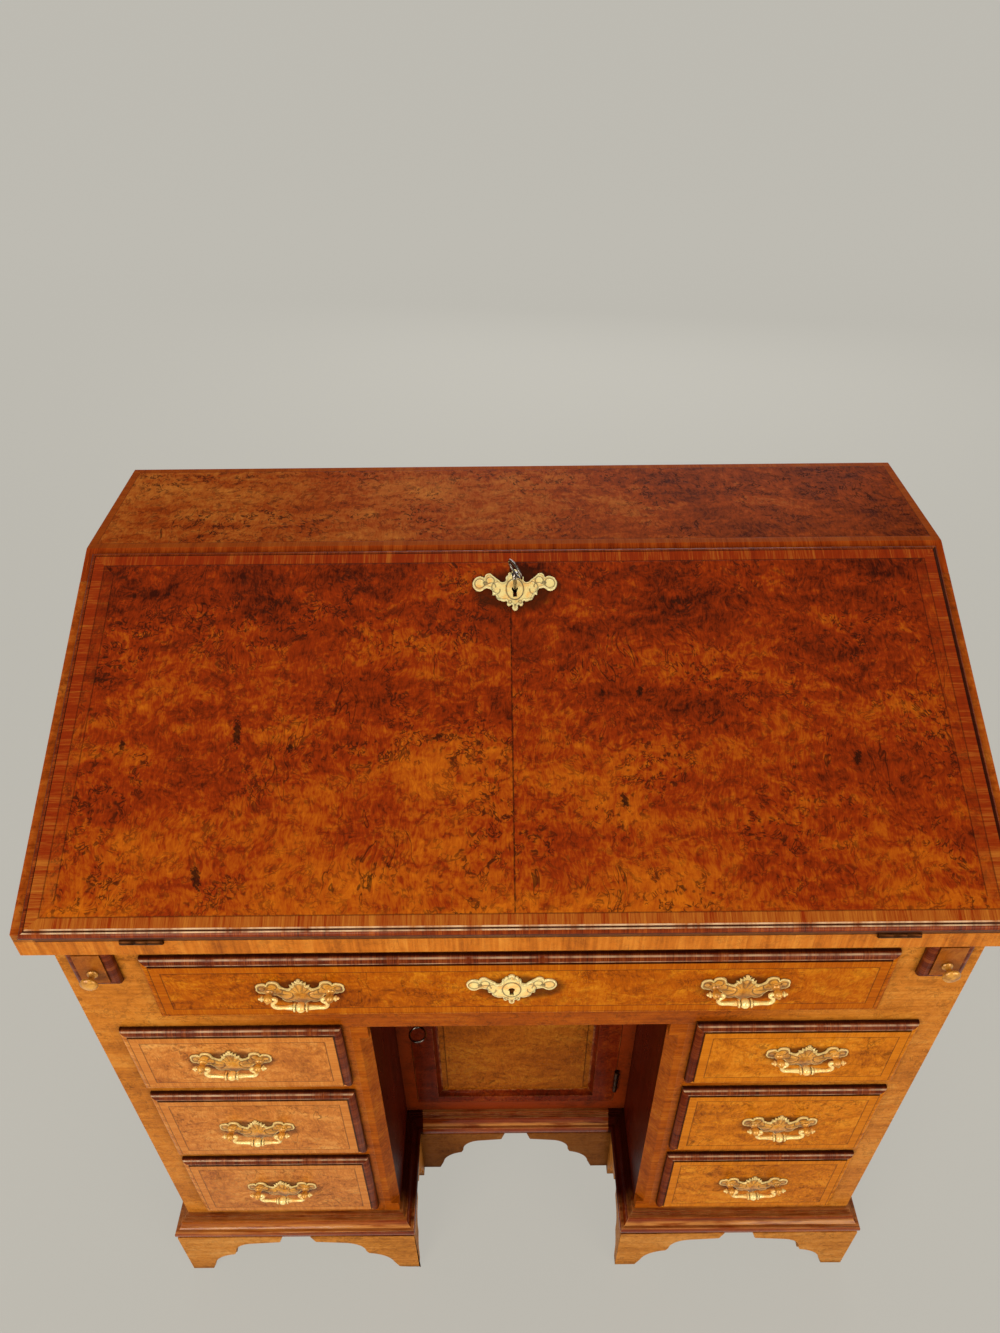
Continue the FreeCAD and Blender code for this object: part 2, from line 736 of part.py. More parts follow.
def bracket_feet():
    """Pairs of mitred brackets at each corner with a glue block behind the front ones."""
    edge = case_half + foot_out
    gap = knee_half - foot_out
    face = front - foot_out
    back_face = recess - foot_out
    ahead = Vector(0, 1, 0)
    outer = Vector(edge, face, 0)
    inner = Vector(gap, face, 0)
    knee_span = (back_face - face) / 2
    side_rear = Vector(edge, rear, 0)
    back_corner = Vector(edge - foot_thick, rear, 0)
    apron = bracket(Vector(gap, back_face, 0), -right, ahead, gap, False)
    heel = box(gap, knee_half, back_face, back_face + foot_thick, 0, foot_height)
    half = [
        bracket(outer, -right, ahead, bracket_span, True),
        bracket(outer, ahead, -right, bracket_span, True),
        bracket(inner, right, ahead, bracket_span, True),
        bracket(inner, ahead, right, knee_span, True),
        bracket(Vector(gap, back_face, 0), -ahead, right, knee_span, False),
        apron.fuse(heel).removeSplitter(),
        bracket(side_rear, -ahead, -right, bracket_span, False),
        bracket(back_corner, -right, -ahead, bracket_span, False),
    ]
    block_y = face + foot_thick
    outer_x = edge - foot_thick
    inner_x = gap + foot_thick
    half.append(box(outer_x - glue_block, outer_x, block_y, block_y + glue_block, 0, foot_height))
    half.append(box(inner_x, inner_x + glue_block, block_y, block_y + glue_block, 0, foot_height))
    return group([solid for piece in half for solid in both_sides(piece)])


# Desk

def writing_bed():
    """The board between case and desk, let in for the fall's hinges."""
    bed = box(-bed_half, bed_half, axis_y, rear, bed_underside, bed_top)
    pocket = hinge_pocket(fall_hinge, -fall_hinge_thick, 0).translated(Vector(0, axis_y, axis_z))
    for cut in at_fall_hinges(pocket):
        bed = bed.cut(cut)
    return bed


def slope_y(z):
    """Where the slope of the desk's sides is at a height."""
    return axis_y + (z - bed_top - nose_height) / math.tan(slope)


def upper_sides():
    """The desk's sloping sides, standing on the bed."""
    section = [
        (axis_y, bed_top), (axis_y, bed_top + nose_height), (slope_y(top_underside), top_underside),
        (rear, top_underside), (rear, bed_top),
    ]
    return group(both_sides(profile_prism(section, upper_inner, bed_half)))


def top_board():
    """The desk's top, bevelled to the slope and rebated for the fall's body and its bolt."""
    section = [
        (slope_y(top_z), top_z), (rear, top_z),
        (rear, top_underside), (slope_y(top_underside), top_underside),
    ]
    board = profile_prism(section, -bed_half, bed_half)
    rebate = box(-upper_inner, upper_inner, 0, body_top_along + run_gap, -overrun, fall_inset + overrun)
    board = board.cut(on_slope(rebate))
    return board.cut(fall_lock_place(bolt_mortise()))


def pigeonhole_front():
    """Where the pigeonholes start, behind the fall."""
    return slope_y(top_underside) + pigeonhole_set_back


def pigeonholes():
    """A shelf with upright divisions above and below it, at the back of the desk."""
    start = pigeonhole_front()
    shelf = bed_top + pigeonhole_shelf_rise
    boards = [box(-upper_inner, upper_inner, start, inner_back, shelf, shelf + pigeonhole_board)]

    def divide(count, bottom, top):
        for index in range(1, count):
            x = upper_inner * (2 * index / count - 1) - pigeonhole_board / 2
            boards.append(box(x, x + pigeonhole_board, start, inner_back, bottom, top))

    divide(pigeonhole_columns, shelf + pigeonhole_board, top_underside)
    divide(pigeonhole_low_columns, bed_top, shelf)
    return group(boards)


# Fall front

def fall_lock_place(shape):
    """A lock shape set in the top edge of the fall's body, with its back on the inner face."""
    return on_slope(shape.translated(Vector(0, body_top_along, 0)))


def fall_panel():
    """The fall's body between the desk's sides and its raised field inside the lip."""
    body = box(-body_half, body_half, fit_gap, body_top_along, 0, fall_inset)
    inset = lip_half - fall_lip_width
    field = box(-inset, inset, fit_gap + fall_lip_width, lip_top_along - fall_lip_width, 0, fall_thick)
    panel = body.fuse(field).removeSplitter()
    for cut in at_fall_hinges(hinge_pocket(fall_hinge, 0, fall_hinge_thick)):
        panel = panel.cut(cut)
    panel = panel.cut(lock_pocket(main_lock).translated(Vector(0, body_top_along, 0)))
    front_half = bolt_width / 2 + fit_gap
    over = box(-front_half, front_half, body_top_along, lip_top_along, 0, fall_inset + fit_gap)
    panel = panel.cut(over)
    passage = key_passage(main_lock, lock_thick, fall_thick + overrun)
    return on_slope(panel.cut(passage.translated(Vector(0, body_top_along, 0))))


def lip_section(width, low, high):
    """An ovolo lip's section as y, z points: square at its foot, rounded, with a step inside."""
    foot = high - fall_lip_step - fall_lip_round
    bend = math.sqrt(1 / 2) * fall_lip_round
    return [
        (0, low), (0, foot),
        ((fall_lip_round - bend, foot + bend), (fall_lip_round, high - fall_lip_step)),
        (fall_lip_round + fall_lip_step, high - fall_lip_step), (fall_lip_round + fall_lip_step, high),
        (width, high), (width, low),
    ]


def fall_lip():
    """Four mitred ovolo lengths round the fall's edge, overlapping the desk's sides and top."""
    low = fall_inset + fit_gap
    section = lip_section(fall_lip_width, low, fall_thick)
    middle = (fit_gap + lip_top_along) / 2

    def length(span):
        face = outline_face(section, lambda a, b: Vector(-span / 2, a, b))
        bar = face.extrude(Vector(span, 0, 0))
        narrow = span / 2 - fall_lip_width
        plan = [(-span / 2, 0), (span / 2, 0), (narrow, fall_lip_width), (-narrow, fall_lip_width)]
        return bar.common(plan_prism(plan, low, fall_thick))

    across = length(2 * lip_half)
    upright = length(lip_top_along - fit_gap)
    turned = placed(across, Vector(0, lip_top_along, 0), -right, Vector(0, -1, 0))
    left = placed(upright, Vector(-lip_half, middle, 0), Vector(0, -1, 0), right)
    other = placed(upright, Vector(lip_half, middle, 0), Vector(0, 1, 0), -right)
    bottom = across.translated(Vector(0, fit_gap, 0))
    for cut in at_fall_hinges(hinge_pocket(fall_hinge, 0, fall_hinge_thick)):
        bottom = bottom.cut(cut)
    return group([on_slope(piece) for piece in (bottom, turned, left, other)])


def fall_parts():
    """The fall's own pieces by node name."""
    plate = escutcheon().translated(Vector(0, body_top_along - main_key_drop, fall_thick))
    return {
        "fall_panel": fall_panel(),
        "fall_lip": fall_lip(),
        "fall_escutcheon": on_slope(plate),
        "fall_lock_case": fall_lock_place(lock_case(main_lock)),
        "fall_lock_bolt": fall_lock_place(lock_bolt(main_lock)),
        "fall_key": fall_lock_place(lock_key(main_lock, fall_thick, fall_key_turn)),
        "fall_hinge_leaves": group(
            [on_slope(leaf) for leaf in at_fall_hinges(moving_leaf(fall_hinge, 0, fall_hinge_thick))]),
    }


# Cupboard door

def door_lock_place(shape):
    """A lock shape set in the door's free edge, behind its stile, with its bolt outward."""
    origin = Vector(-door_half, recess + door_thick, door_key_z)
    return placed(shape, origin, up, -right)


def door_frame():
    """Two stiles, two rails grooved for the panel, and a mitred bead round the opening."""
    back = recess + door_thick
    inner = door_half - door_stile_width
    low = door_bottom + door_bottom_rail
    high = door_top - door_top_rail
    groove = box(-inner - panel_tongue, inner + panel_tongue, recess + panel_set_back,
                 recess + panel_set_back + panel_thick, low - panel_tongue, high + panel_tongue)
    left = box(-door_half, -inner, recess, back, door_bottom, door_top)
    left = left.cut(door_lock_place(lock_pocket(door_lock)))
    left = left.cut(door_lock_place(key_passage(door_lock, lock_thick, door_thick + overrun)))
    other = box(inner, door_half, recess, back, door_bottom, door_top)
    for pocket in at_door_hinges(hinge_pocket(door_hinge, 0, door_hinge_thick + fit_gap / 2)):
        other = other.cut(pocket)
    bottom_rail = box(-inner, inner, recess, back, door_bottom, low)
    top_rail = box(-inner, inner, recess, back, high, door_top)
    boards = [board.cut(groove) for board in (left, other, bottom_rail, top_rail)]
    return group(boards + door_bead(inner, low, high))


def door_bead(inner, low, high):
    """Four mitred quarter-round strips between the door's frame and its panel."""
    middle = (low + high) / 2
    seat = recess + panel_set_back
    bend = math.sqrt(1 / 2)
    section = [
        (0, 0), (0, 1), ((1 - bend, 1 - bend), (1, 0)),
    ]

    def strip(span):
        face = outline_face(section, lambda a, b: Vector(
            -span / 2, a * door_bead_width, b * door_bead_depth))
        bar = face.extrude(Vector(span, 0, 0))
        narrow = span / 2 - door_bead_width
        plan = [(-span / 2, 0), (span / 2, 0), (narrow, door_bead_width), (-narrow, door_bead_width)]
        return bar.common(plan_prism(plan, 0, door_bead_depth))

    across = strip(2 * inner)
    upright = strip(high - low)
    return [
        placed(across, Vector(0, seat, low), right, up),
        placed(across, Vector(0, seat, high), -right, -up),
        placed(upright, Vector(-inner, seat, middle), -up, right),
        placed(upright, Vector(inner, seat, middle), up, -right),
    ]


def door_panel():
    """A panel tongued into the frame, with a raised field inside the bead."""
    inner = door_half - door_stile_width
    low = door_bottom + door_bottom_rail
    high = door_top - door_top_rail
    face = recess + panel_set_back
    half = inner + panel_tongue
    board = box(-half, half, face, face + panel_thick, low - panel_tongue, high + panel_tongue)
    field_half = inner - panel_field_margin
    field = box(-field_half, field_half, face - panel_field_rise, face,
                low + panel_field_margin, high - panel_field_margin)
    return board.fuse(field).removeSplitter()


def door_parts():
    """The door's pieces by node name."""
    leaf = moving_leaf(door_hinge, fit_gap / 2, door_hinge_thick + fit_gap / 2)
    return {
        "door_frame": door_frame(),
        "door_panel": door_panel(),
        "door_lock_case": door_lock_place(lock_case(door_lock)),
        "door_lock_bolt": door_lock_place(lock_bolt(door_lock)),
        "door_key": door_lock_place(lock_key(door_lock, door_thick, door_key_turn)),
        "door_hinge_leaves": group(at_door_hinges(leaf)),
    }


def carcase_hinge_leaves():
    """The leaves fixed to the bed and to the cupboard's frame."""
    bed_leaf = fixed_leaf(fall_hinge, -fall_hinge_thick, 0).translated(Vector(0, axis_y, axis_z))
    frame_leaf = fixed_leaf(door_hinge, -door_hinge_thick - fit_gap / 2, -fit_gap / 2)
    return group(at_fall_hinges(bed_leaf) + at_door_hinges(frame_leaf))


# Drawers and lopers

def lipped_face(x0, x1, z0, z1):
    """A lipped front's outer layer: an ovolo edge and a field raised inside it."""
    back = front - fit_gap
    face = back - lip_thick
    lip = box(x0, x1, face, back, z0, z1)
    edges = [edge for edge in lip.Edges if edge.BoundBox.YMax < face + fit_gap]
    lip = lip.makeFillet(lip_round, edges)
    field = box(x0 + lip_field_inset, x1 - lip_field_inset, face - lip_field_rise, back,
                z0 + lip_field_inset, z1 - lip_field_inset)
    return lip.fuse(field)


def drawer_face_y():
    """The outer face of a drawer front."""
    return front - fit_gap - lip_thick - lip_field_rise


def front_depth():
    """A drawer front's thickness from its face to its back."""
    return front + front_body_depth - drawer_face_y()


def drawer_front(x0, x1, z0, z1, handle_places):
    """A drawer front lipped over its opening and bored for its handles."""
    lip = lipped_face(x0 - lip_overlap, x1 + lip_overlap, z0 - lip_overlap, z1 + lip_overlap)
    body = box(x0 + run_gap, x1 - run_gap, front - fit_gap, front + front_body_depth,
               z0 + run_gap, z1 - run_gap)
    solid = lip.fuse(body).removeSplitter()
    for x, z in handle_places:
        for post in handle_posts():
            start = Vector(x + post.x, drawer_face_y() - overrun, z + post.y)
            end = Vector(start.x, front + front_body_depth + overrun, start.z)
            solid = solid.cut(rod(shank_radius + pin_fit, start, end))
    return solid


def drawer_box(x0, x1, z0, z1):
    """A drawer's two sides, back and bottom."""
    start = front + front_body_depth
    left = x0 + run_gap
    other = x1 - run_gap
    low = z0 + fit_gap
    bottom = low + drawer_bottom_rise
    inner_left = left + drawer_side_thick
    inner_right = other - drawer_side_thick
    back = drawer_end - drawer_back_thick
    return group([
        box(left, inner_left, start, drawer_end, low, z1 - drawer_side_drop),
        box(inner_right, other, start, drawer_end, low, z1 - drawer_side_drop),
        box(inner_left, inner_right, back, drawer_end, low, z1 - drawer_back_drop),
        box(inner_left, inner_right, start, back, bottom, bottom + drawer_bottom_thick),
    ])


def pedestal_handle(side, row, bottom, height):
    """The middle of a pedestal drawer's handle, out and up from the middle of its opening."""
    places = {
        "top": (top_handle_out, top_handle_rise),
        "middle": (middle_handle_out, 0),
        "bottom": (0, bottom_handle_rise),
    }
    out, rise = places[row]
    return side * ((pedestal_left + pedestal_right) / 2 + out), bottom + height / 2 + rise


def pedestal_drawers():
    """Front, box, handle and bail of the six pedestal drawers, by node name."""
    nodes = {}
    for side, name in ((-1, "left"), (1, "right")):
        x0 = pedestal_left if side > 0 else -pedestal_right
        x1 = pedestal_right if side > 0 else -pedestal_left
        for row, bottom, height in pedestal_rows():
            x, z = pedestal_handle(side, row, bottom, height)
            drawer = name + "_" + row + "_drawer"
            nodes[drawer + "_front"] = drawer_front(x0, x1, bottom, bottom + height, [(x, z)])
            nodes[drawer + "_box"] = drawer_box(x0, x1, bottom, bottom + height)
            nodes[drawer + "_handle"] = on_front(handle_plate(front_depth()), x, drawer_face_y(), z)
            nodes[drawer + "_bail"] = on_front(bail(), x, drawer_face_y(), z)
    return nodes


def drawer_lock_place(shape):
    """A lock shape set behind the long drawer's front with its top edge at the opening's top."""
    return on_front(shape, drawer_lock_shift, front + front_body_depth, long_row_top - run_gap)


def long_drawer():
    """The long drawer's pieces by node name."""
    z = (long_row + long_row_top) / 2
    places = [(-long_left_handle_place, z), (long_right_handle_place, z)]
    panel = drawer_front(-long_half, long_half, long_row, long_row_top, places)
    panel = panel.cut(drawer_lock_place(lock_pocket(main_lock)))
    over = bolt_width / 2 + fit_gap
    panel = panel.cut(drawer_lock_place(
        box(-over, over, 0, overrun, bolt_z() - fit_gap, bolt_z() + bolt_thick + fit_gap)))
    panel = panel.cut(drawer_lock_place(key_passage(main_lock, lock_thick, front_depth() + overrun)))
    plates = [on_front(handle_plate(front_depth()), x, drawer_face_y(), z) for x, z in places]
    solids = [solid for plate in plates for solid in plate.Solids]
    key_z = long_row_top - run_gap - main_key_drop
    solids.append(on_front(escutcheon(), drawer_lock_shift, drawer_face_y(), key_z))
    return {
        "long_drawer_front": panel,
        "long_drawer_box": drawer_box(-long_half, long_half, long_row, long_row_top),
        "long_drawer_brasses": group(solids),
        "long_drawer_left_bail": on_front(bail(), -long_left_handle_place, drawer_face_y(), z),
        "long_drawer_right_bail": on_front(bail(), long_right_handle_place, drawer_face_y(), z),
        "long_drawer_lock_case": drawer_lock_place(lock_case(main_lock)),
        "long_drawer_lock_bolt": drawer_lock_place(lock_bolt(main_lock)),
    }


def knob():
    """A mushroom knob on a collar, with a shank into the wood behind it."""
    shank = rod(knob_shank_radius, Vector(0, 0, -knob_shank_length), Vector(0, 0, 0))
    collar = rod(knob_collar_radius, Vector(0, 0, 0), Vector(0, 0, knob_collar_height))
    head_start = Vector(0, 0, knob_stem_length)
    stem = rod(knob_stem_radius, Vector(0, 0, 0), head_start)
    flare = Part.makeCone(knob_stem_radius, knob_head_radius, knob_head_height / 2, head_start)
    dome_start = head_start + Vector(0, 0, knob_head_height / 2)
    dome_rise = knob_head_height / 2
    dome_radius = (knob_head_radius ** 2 + dome_rise ** 2) / (2 * dome_rise)
    ball = Part.makeSphere(dome_radius, dome_start + Vector(0, 0, dome_rise - dome_radius))
    dome = ball.common(rod(knob_head_radius, dome_start, dome_start + Vector(0, 0, knob_head_height)))
    return shank.fuse([collar, stem, flare, dome]).removeSplitter()


def lopers():
    """The two lopers and their knobs by node name."""
    top = bed_underside - fit_gap
    middle_z = (loper_bottom + bed_underside) / 2 - knob_drop
    nodes = {}
    for side, name in ((-1, "left"), (1, "right")):
        x0 = side * loper_middle - loper_width / 2
        x1 = side * loper_middle + loper_width / 2
        lip = lipped_face(x0 - lip_overlap, x1 + lip_overlap, loper_bottom - lip_overlap,
                          bed_underside - loper_lip_drop)
        bar = box(x0 + fit_gap, x1 - fit_gap, front - fit_gap, loper_end, loper_bottom + fit_gap, top)
        x = side * loper_middle
        hole = rod(knob_shank_radius + pin_fit, Vector(x, drawer_face_y() - overrun, middle_z),
                   Vector(x, drawer_face_y() + knob_shank_length + fit_gap, middle_z))
        nodes[name + "_loper"] = lip.fuse(bar).removeSplitter().cut(hole)
        nodes[name + "_loper_knob"] = on_front(knob(), x, drawer_face_y(), middle_z)
    return nodes


def carcase():
    """The fixed case's pieces by node name."""
    return {
        "outer_sides": outer_sides(),
        "kneehole_sides": kneehole_sides(),
        "back_boards": back_boards(),
        "face_frame": face_frame(),
        "dust_boards": dust_boards(),
        "base_moulding": base_moulding(),
        "bracket_feet": bracket_feet(),
        "writing_bed": writing_bed(),
        "upper_sides": upper_sides(),
        "top_board": top_board(),
        "pigeonholes": pigeonholes(),
        "carcase_hinge_leaves": carcase_hinge_leaves(),
    }


def main():
    """Write one file per node."""
    os.makedirs("parts", exist_ok=True)
    nodes = {}
    for build in (carcase, fall_parts, door_parts, lopers, long_drawer, pedestal_drawers):
        nodes.update(build())
    for name, shape in nodes.items():
        shape.exportStep("parts/" + name + ".step")
    print(len(nodes), "nodes")


main()
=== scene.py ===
"""Looks of the kneehole escritoire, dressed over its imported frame.

Metres and the frame's own axes throughout: +X to the right, -Y to the front, +Z up.
"""

import json
import logging
import math
from collections.abc import Callable
from dataclasses import dataclass, replace
from enum import Enum
from functools import cache, reduce
from typing import Self

import bpy
import numpy as np
from mathutils import Matrix, Vector, geometry


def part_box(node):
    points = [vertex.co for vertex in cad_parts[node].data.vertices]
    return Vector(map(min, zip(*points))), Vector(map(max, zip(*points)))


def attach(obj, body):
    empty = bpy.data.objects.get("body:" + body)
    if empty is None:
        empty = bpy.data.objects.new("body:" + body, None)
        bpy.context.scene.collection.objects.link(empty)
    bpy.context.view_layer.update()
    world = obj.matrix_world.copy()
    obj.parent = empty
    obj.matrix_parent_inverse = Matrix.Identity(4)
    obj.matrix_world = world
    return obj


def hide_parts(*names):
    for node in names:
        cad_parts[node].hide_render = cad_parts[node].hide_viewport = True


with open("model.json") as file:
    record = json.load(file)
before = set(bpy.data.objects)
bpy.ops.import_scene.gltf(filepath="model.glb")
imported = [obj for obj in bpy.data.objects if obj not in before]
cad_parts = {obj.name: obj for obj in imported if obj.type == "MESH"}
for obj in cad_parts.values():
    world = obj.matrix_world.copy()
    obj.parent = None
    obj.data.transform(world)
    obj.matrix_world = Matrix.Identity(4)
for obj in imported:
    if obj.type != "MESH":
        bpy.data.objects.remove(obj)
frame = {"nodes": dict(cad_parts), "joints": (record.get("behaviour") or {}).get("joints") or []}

log = logging.getLogger("escritoire")

MM = 0.001
TURN = 2 * math.pi
KNEE_HALF = 172.4 * MM
SUN_FROM, SUN_TO = 180 * MM, 330 * MM
SLOPE = math.radians(26.2)
ALONG = Vector((0, math.cos(SLOPE), math.sin(SLOPE)))
OUT = Vector((0, -math.sin(SLOPE), math.cos(SLOPE)))
RIGHT = Vector((1, 0, 0))
UP = Vector((0, 0, 1))
FRONTWARD = Vector((0, -1, 0))
# The way a round faces where it gets a painted highlight.
HIGHLIGHT_WAY = (0.0, -0.5, 0.866)

SHEEN = "ffd29a"
KNEE_FIGURE = ((0.15, "8a8a8a"), (0.5, "ffffff"))
CORNER_SHADE_AND_GRIME = "160803"
PANEL_SHADE_AND_GRIME = "170803"
FLAW = "1c0a04"
EYE = "2e0e04"
CRACK = "140602"
BOARD_JOINT = "120a05"
STRINGING = "1d0b05"
QUIRK_SHADE = "1c0603"
LIP_EDGE_SHADE = "200604"
FITTING_SHADE = "3c1503"
ARRIS_HIGHLIGHT = "f2d2a6"
PANEL_WEAR = "cf8d4c"
OAK_WEAR = "b48d58"
POLISH_ROUGH = 0.12
LACQUER_ROUGH = 0.14
# Mesh attributes: engraved grooves together with the painted shade of the edge walls, and the rim painted as
# a highlight.
CHASE_AND_LIGHT = ("groove", "rim")

Socket = bpy.types.NodeSocket
Material = bpy.types.Material
NodeTree = bpy.types.NodeTree
Colour = tuple[float, float, float, float]
Pair = tuple[float, float]
Point = tuple[float, float, float]
Face = tuple[int, ...]
Steps = tuple[Pair | tuple[Pair, Pair], ...]
Stops = tuple[tuple[float, str], ...]


def shade(code: str) -> Colour:
    """Turn a colour as seen on screen into the linear colour that a shader takes.

    Args:
        code: Six hex digits, red first.

    Returns:
        Linear red, green and blue, and a full alpha.
    """
    seen = [int(code[at:at + 2], 16) / 255 for at in (0, 2, 4)]
    red, green, blue = (((part + 0.055) / 1.055) ** 2.4 if part > 0.04045 else part / 12.92 for part in seen)
    return (red, green, blue, 1.0)


class Graph:
    """A node tree that takes new nodes."""

    def __init__(self, tree: NodeTree) -> None:
        """Keep the tree that the nodes go into."""
        self.tree = tree

    def feed(self, node: bpy.types.Node, feeds: dict[str | int, "Feed"]) -> None:
        """Link or set a node's inputs.

        Args:
            node: The node to feed.
            feeds: What goes into it, by the input's name or number.
        """
        for key, given in feeds.items():
            value = given.socket if isinstance(given, Value) else given
            if isinstance(value, Socket):
                self.tree.links.new(value, node.inputs[key])
            else:
                node.inputs[key].default_value = value

    def node(self, kind: str, feeds: dict[str | int, "Feed"], **settings: object) -> bpy.types.Node:
        """Add a node, set its options and feed its inputs.

        Args:
            kind: The node's type without its common prefix.
            feeds: What goes into it, by the input's name or number.
            **settings: The node's own options.

        Returns:
            The new node.
        """
        made = self.tree.nodes.new("ShaderNode" + kind)
        for option, value in settings.items():
            setattr(made, option, value)
        self.feed(made, feeds)
        return made

    def value(self, kind: str, feeds: dict[str | int, "Feed"], output: str | int = 0,
              **settings: object) -> "Value":
        """Add a node in the same way and hand back one of its outputs."""
        return Value(self, self.node(kind, feeds, **settings).outputs[output])

    def join(self, *parts: "Feed") -> "Value":
        """A vector from its three parts."""
        return self.value("CombineXYZ", dict(enumerate(parts)))

    def normal(self) -> "Value":
        """The way the surface looks."""
        return self.value("NewGeometry", {}, "Normal")


@dataclass(frozen=True, eq=False)
class Value:
    """A number, place or colour in a graph. Arithmetic on it adds nodes to the graph."""

    graph: Graph
    socket: Socket

    def math(self, operation: str, *others: "Feed") -> Self:
        """One step of arithmetic."""
        return self.graph.value("Math", dict(enumerate((self, *others))), operation=operation)

    def __add__(self, other: "Feed") -> Self:
        """The sum of two values."""
        return self.math("ADD", other)

    def __sub__(self, other: "Feed") -> Self:
        """The difference of two values."""
        return self.math("SUBTRACT", other)

    def __rsub__(self, whole: float) -> Self:
        """What this value leaves of a whole."""
        return self.math("MULTIPLY_ADD", -1.0, whole)

    def __mul__(self, other: "Feed") -> Self:
        """Two values multiplied."""
        return self.math("MULTIPLY", other)

    def __truediv__(self, other: "Feed") -> Self:
        """One value divided by another."""
        return self.math("DIVIDE", other)

    def __lt__(self, limit: "Feed") -> Self:
        """A mask of the values under a limit."""
        return self.math("LESS_THAN", limit)

    def __gt__(self, limit: "Feed") -> Self:
        """A mask of the values over a limit."""
        return self.math("GREATER_THAN", limit)

    def __abs__(self) -> Self:
        """The value without its sign."""
        return self.math("ABSOLUTE")

    def most(self, *others: "Feed") -> Self:
        """The largest of this value and others."""
        return reduce(lambda most, other: most.math("MAXIMUM", other), others, self)

    def span(self, low: float, high: float) -> Self:
        """Ease the value from 0 at one end of a span to 1 at the other."""
        feeds = {"Value": self, "From Min": low, "From Max": high}
        return self.graph.value("MapRange", feeds, interpolation_type="SMOOTHSTEP")

    def parts(self) -> tuple[Self, ...]:
        """The three parts of a vector."""
        return tuple(Value(self.graph, part) for part in self.graph.node("SeparateXYZ", {0: self}).outputs)

    def dot(self, other: "Feed") -> Self:
        """How far one vector runs along another."""
        return self.graph.value("VectorMath", {0: self, 1: other}, "Value", operation="DOT_PRODUCT")

    def stretched(self, shares: Point) -> Self:
        """A vector or colour with each of its parts multiplied by a share."""
        return self.graph.value("VectorMath", {0: self, 1: shares}, operation="MULTIPLY")

    def noise(self, scale: float, detail: float = 2.0, rough: float = 0.5, bend: float = 0.0) -> Self:
        """Cloudy noise at a place, about 0 to 1 with its middle at 0.5."""
        feeds = {"Vector": self, "Scale": scale, "Detail": detail, "Roughness": rough, "Distortion": bend}
        return self.graph.value("TexNoise", feeds, "Fac")

    def cells(self, scale: float) -> Self:
        """Distance from a place to the nearest of many scattered points, in shares of their spacing."""
        return self.graph.value("TexVoronoi", {"Vector": self, "Scale": scale}, "Distance")

    def bent(self, scale: float, detail: float, reach: float) -> Self:
        """A place pushed about by cloudy noise, up to a reach in metres."""
        drift = self.graph.value("TexNoise", {"Vector": self, "Scale": scale, "Detail": detail}, "Color")
        return self.graph.value("VectorMath", {0: drift, 1: (reach,) * 3, 2: self}, operation="MULTIPLY_ADD")

    def pick(self, a: "Feed", b: "Feed") -> Self:
        """Blend from one colour to another by this mask."""
        return self.graph.value("Mix", {0: self, 6: a, 7: b}, 2, data_type="RGBA")

    def toned(self, mask: Self, code: str) -> Self:
        """This colour with another, as seen on screen, laid over it by a mask."""
        return mask.pick(self, shade(code))

    def ramp(self, stops: Stops) -> Self:
        """Colour the value by a few stops.

        Args:
            stops: Places from 0 to 1 with the colour seen there, in order.

        Returns:
            The colour.
        """
        made = self.graph.node("ValToRGB", {0: self})
        spots = made.color_ramp.elements
        while len(spots) < len(stops):
            spots.new(0.5)
        for spot, (at, code) in zip(spots, stops):
            spot.position = at
            spot.color = shade(code)
        return Value(self.graph, made.outputs["Color"])


Feed = Value | Socket | float | tuple


def shared_effect(inputs: tuple[str, ...], results: tuple[str, ...]) -> Callable:
    """Turn a function that draws an effect into one that places its node group, which is made once.

    Args:
        inputs: Names of the group's inputs: Vector is a vector and the others are numbers.
        results: Names of its number outputs.

    Returns:
        The decorator for the drawing function.
    """
    def decorate(draw: Callable[..., tuple[Value, ...]]) -> Callable[..., tuple[Value, ...]]:
        """Wrap one drawing function.

        Args:
            draw: Takes the group's inputs in order and gives its results in order.

        Returns:
            A function that places the group.
        """
        @cache
        def group() -> NodeTree:
            """Make the group and draw inside it.

            Returns:
                The group's node tree.
            """
            tree = bpy.data.node_groups.new(draw.__name__, "ShaderNodeTree")
            for way, keys in (("INPUT", inputs), ("OUTPUT", results)):
                for key in keys:
                    kind = "NodeSocketVector" if key == "Vector" else "NodeSocketFloat"
                    tree.interface.new_socket(key, in_out=way, socket_type=kind)
            given = tree.nodes.new("NodeGroupInput")
            taken = tree.nodes.new("NodeGroupOutput")
            graph = Graph(tree)
            drawn = draw(*(Value(graph, socket) for socket in given.outputs[:len(inputs)]))
            graph.feed(taken, dict(zip(results, drawn)))
            return tree

        def placed(first: Value, *others: Feed) -> tuple[Value, ...]:
            """Place the group beside the first value that it takes."""
            made = first.graph.node("Group", dict(zip(inputs, (first, *others))), node_tree=group())
            return tuple(Value(first.graph, socket) for socket in made.outputs)
        return placed
    return decorate


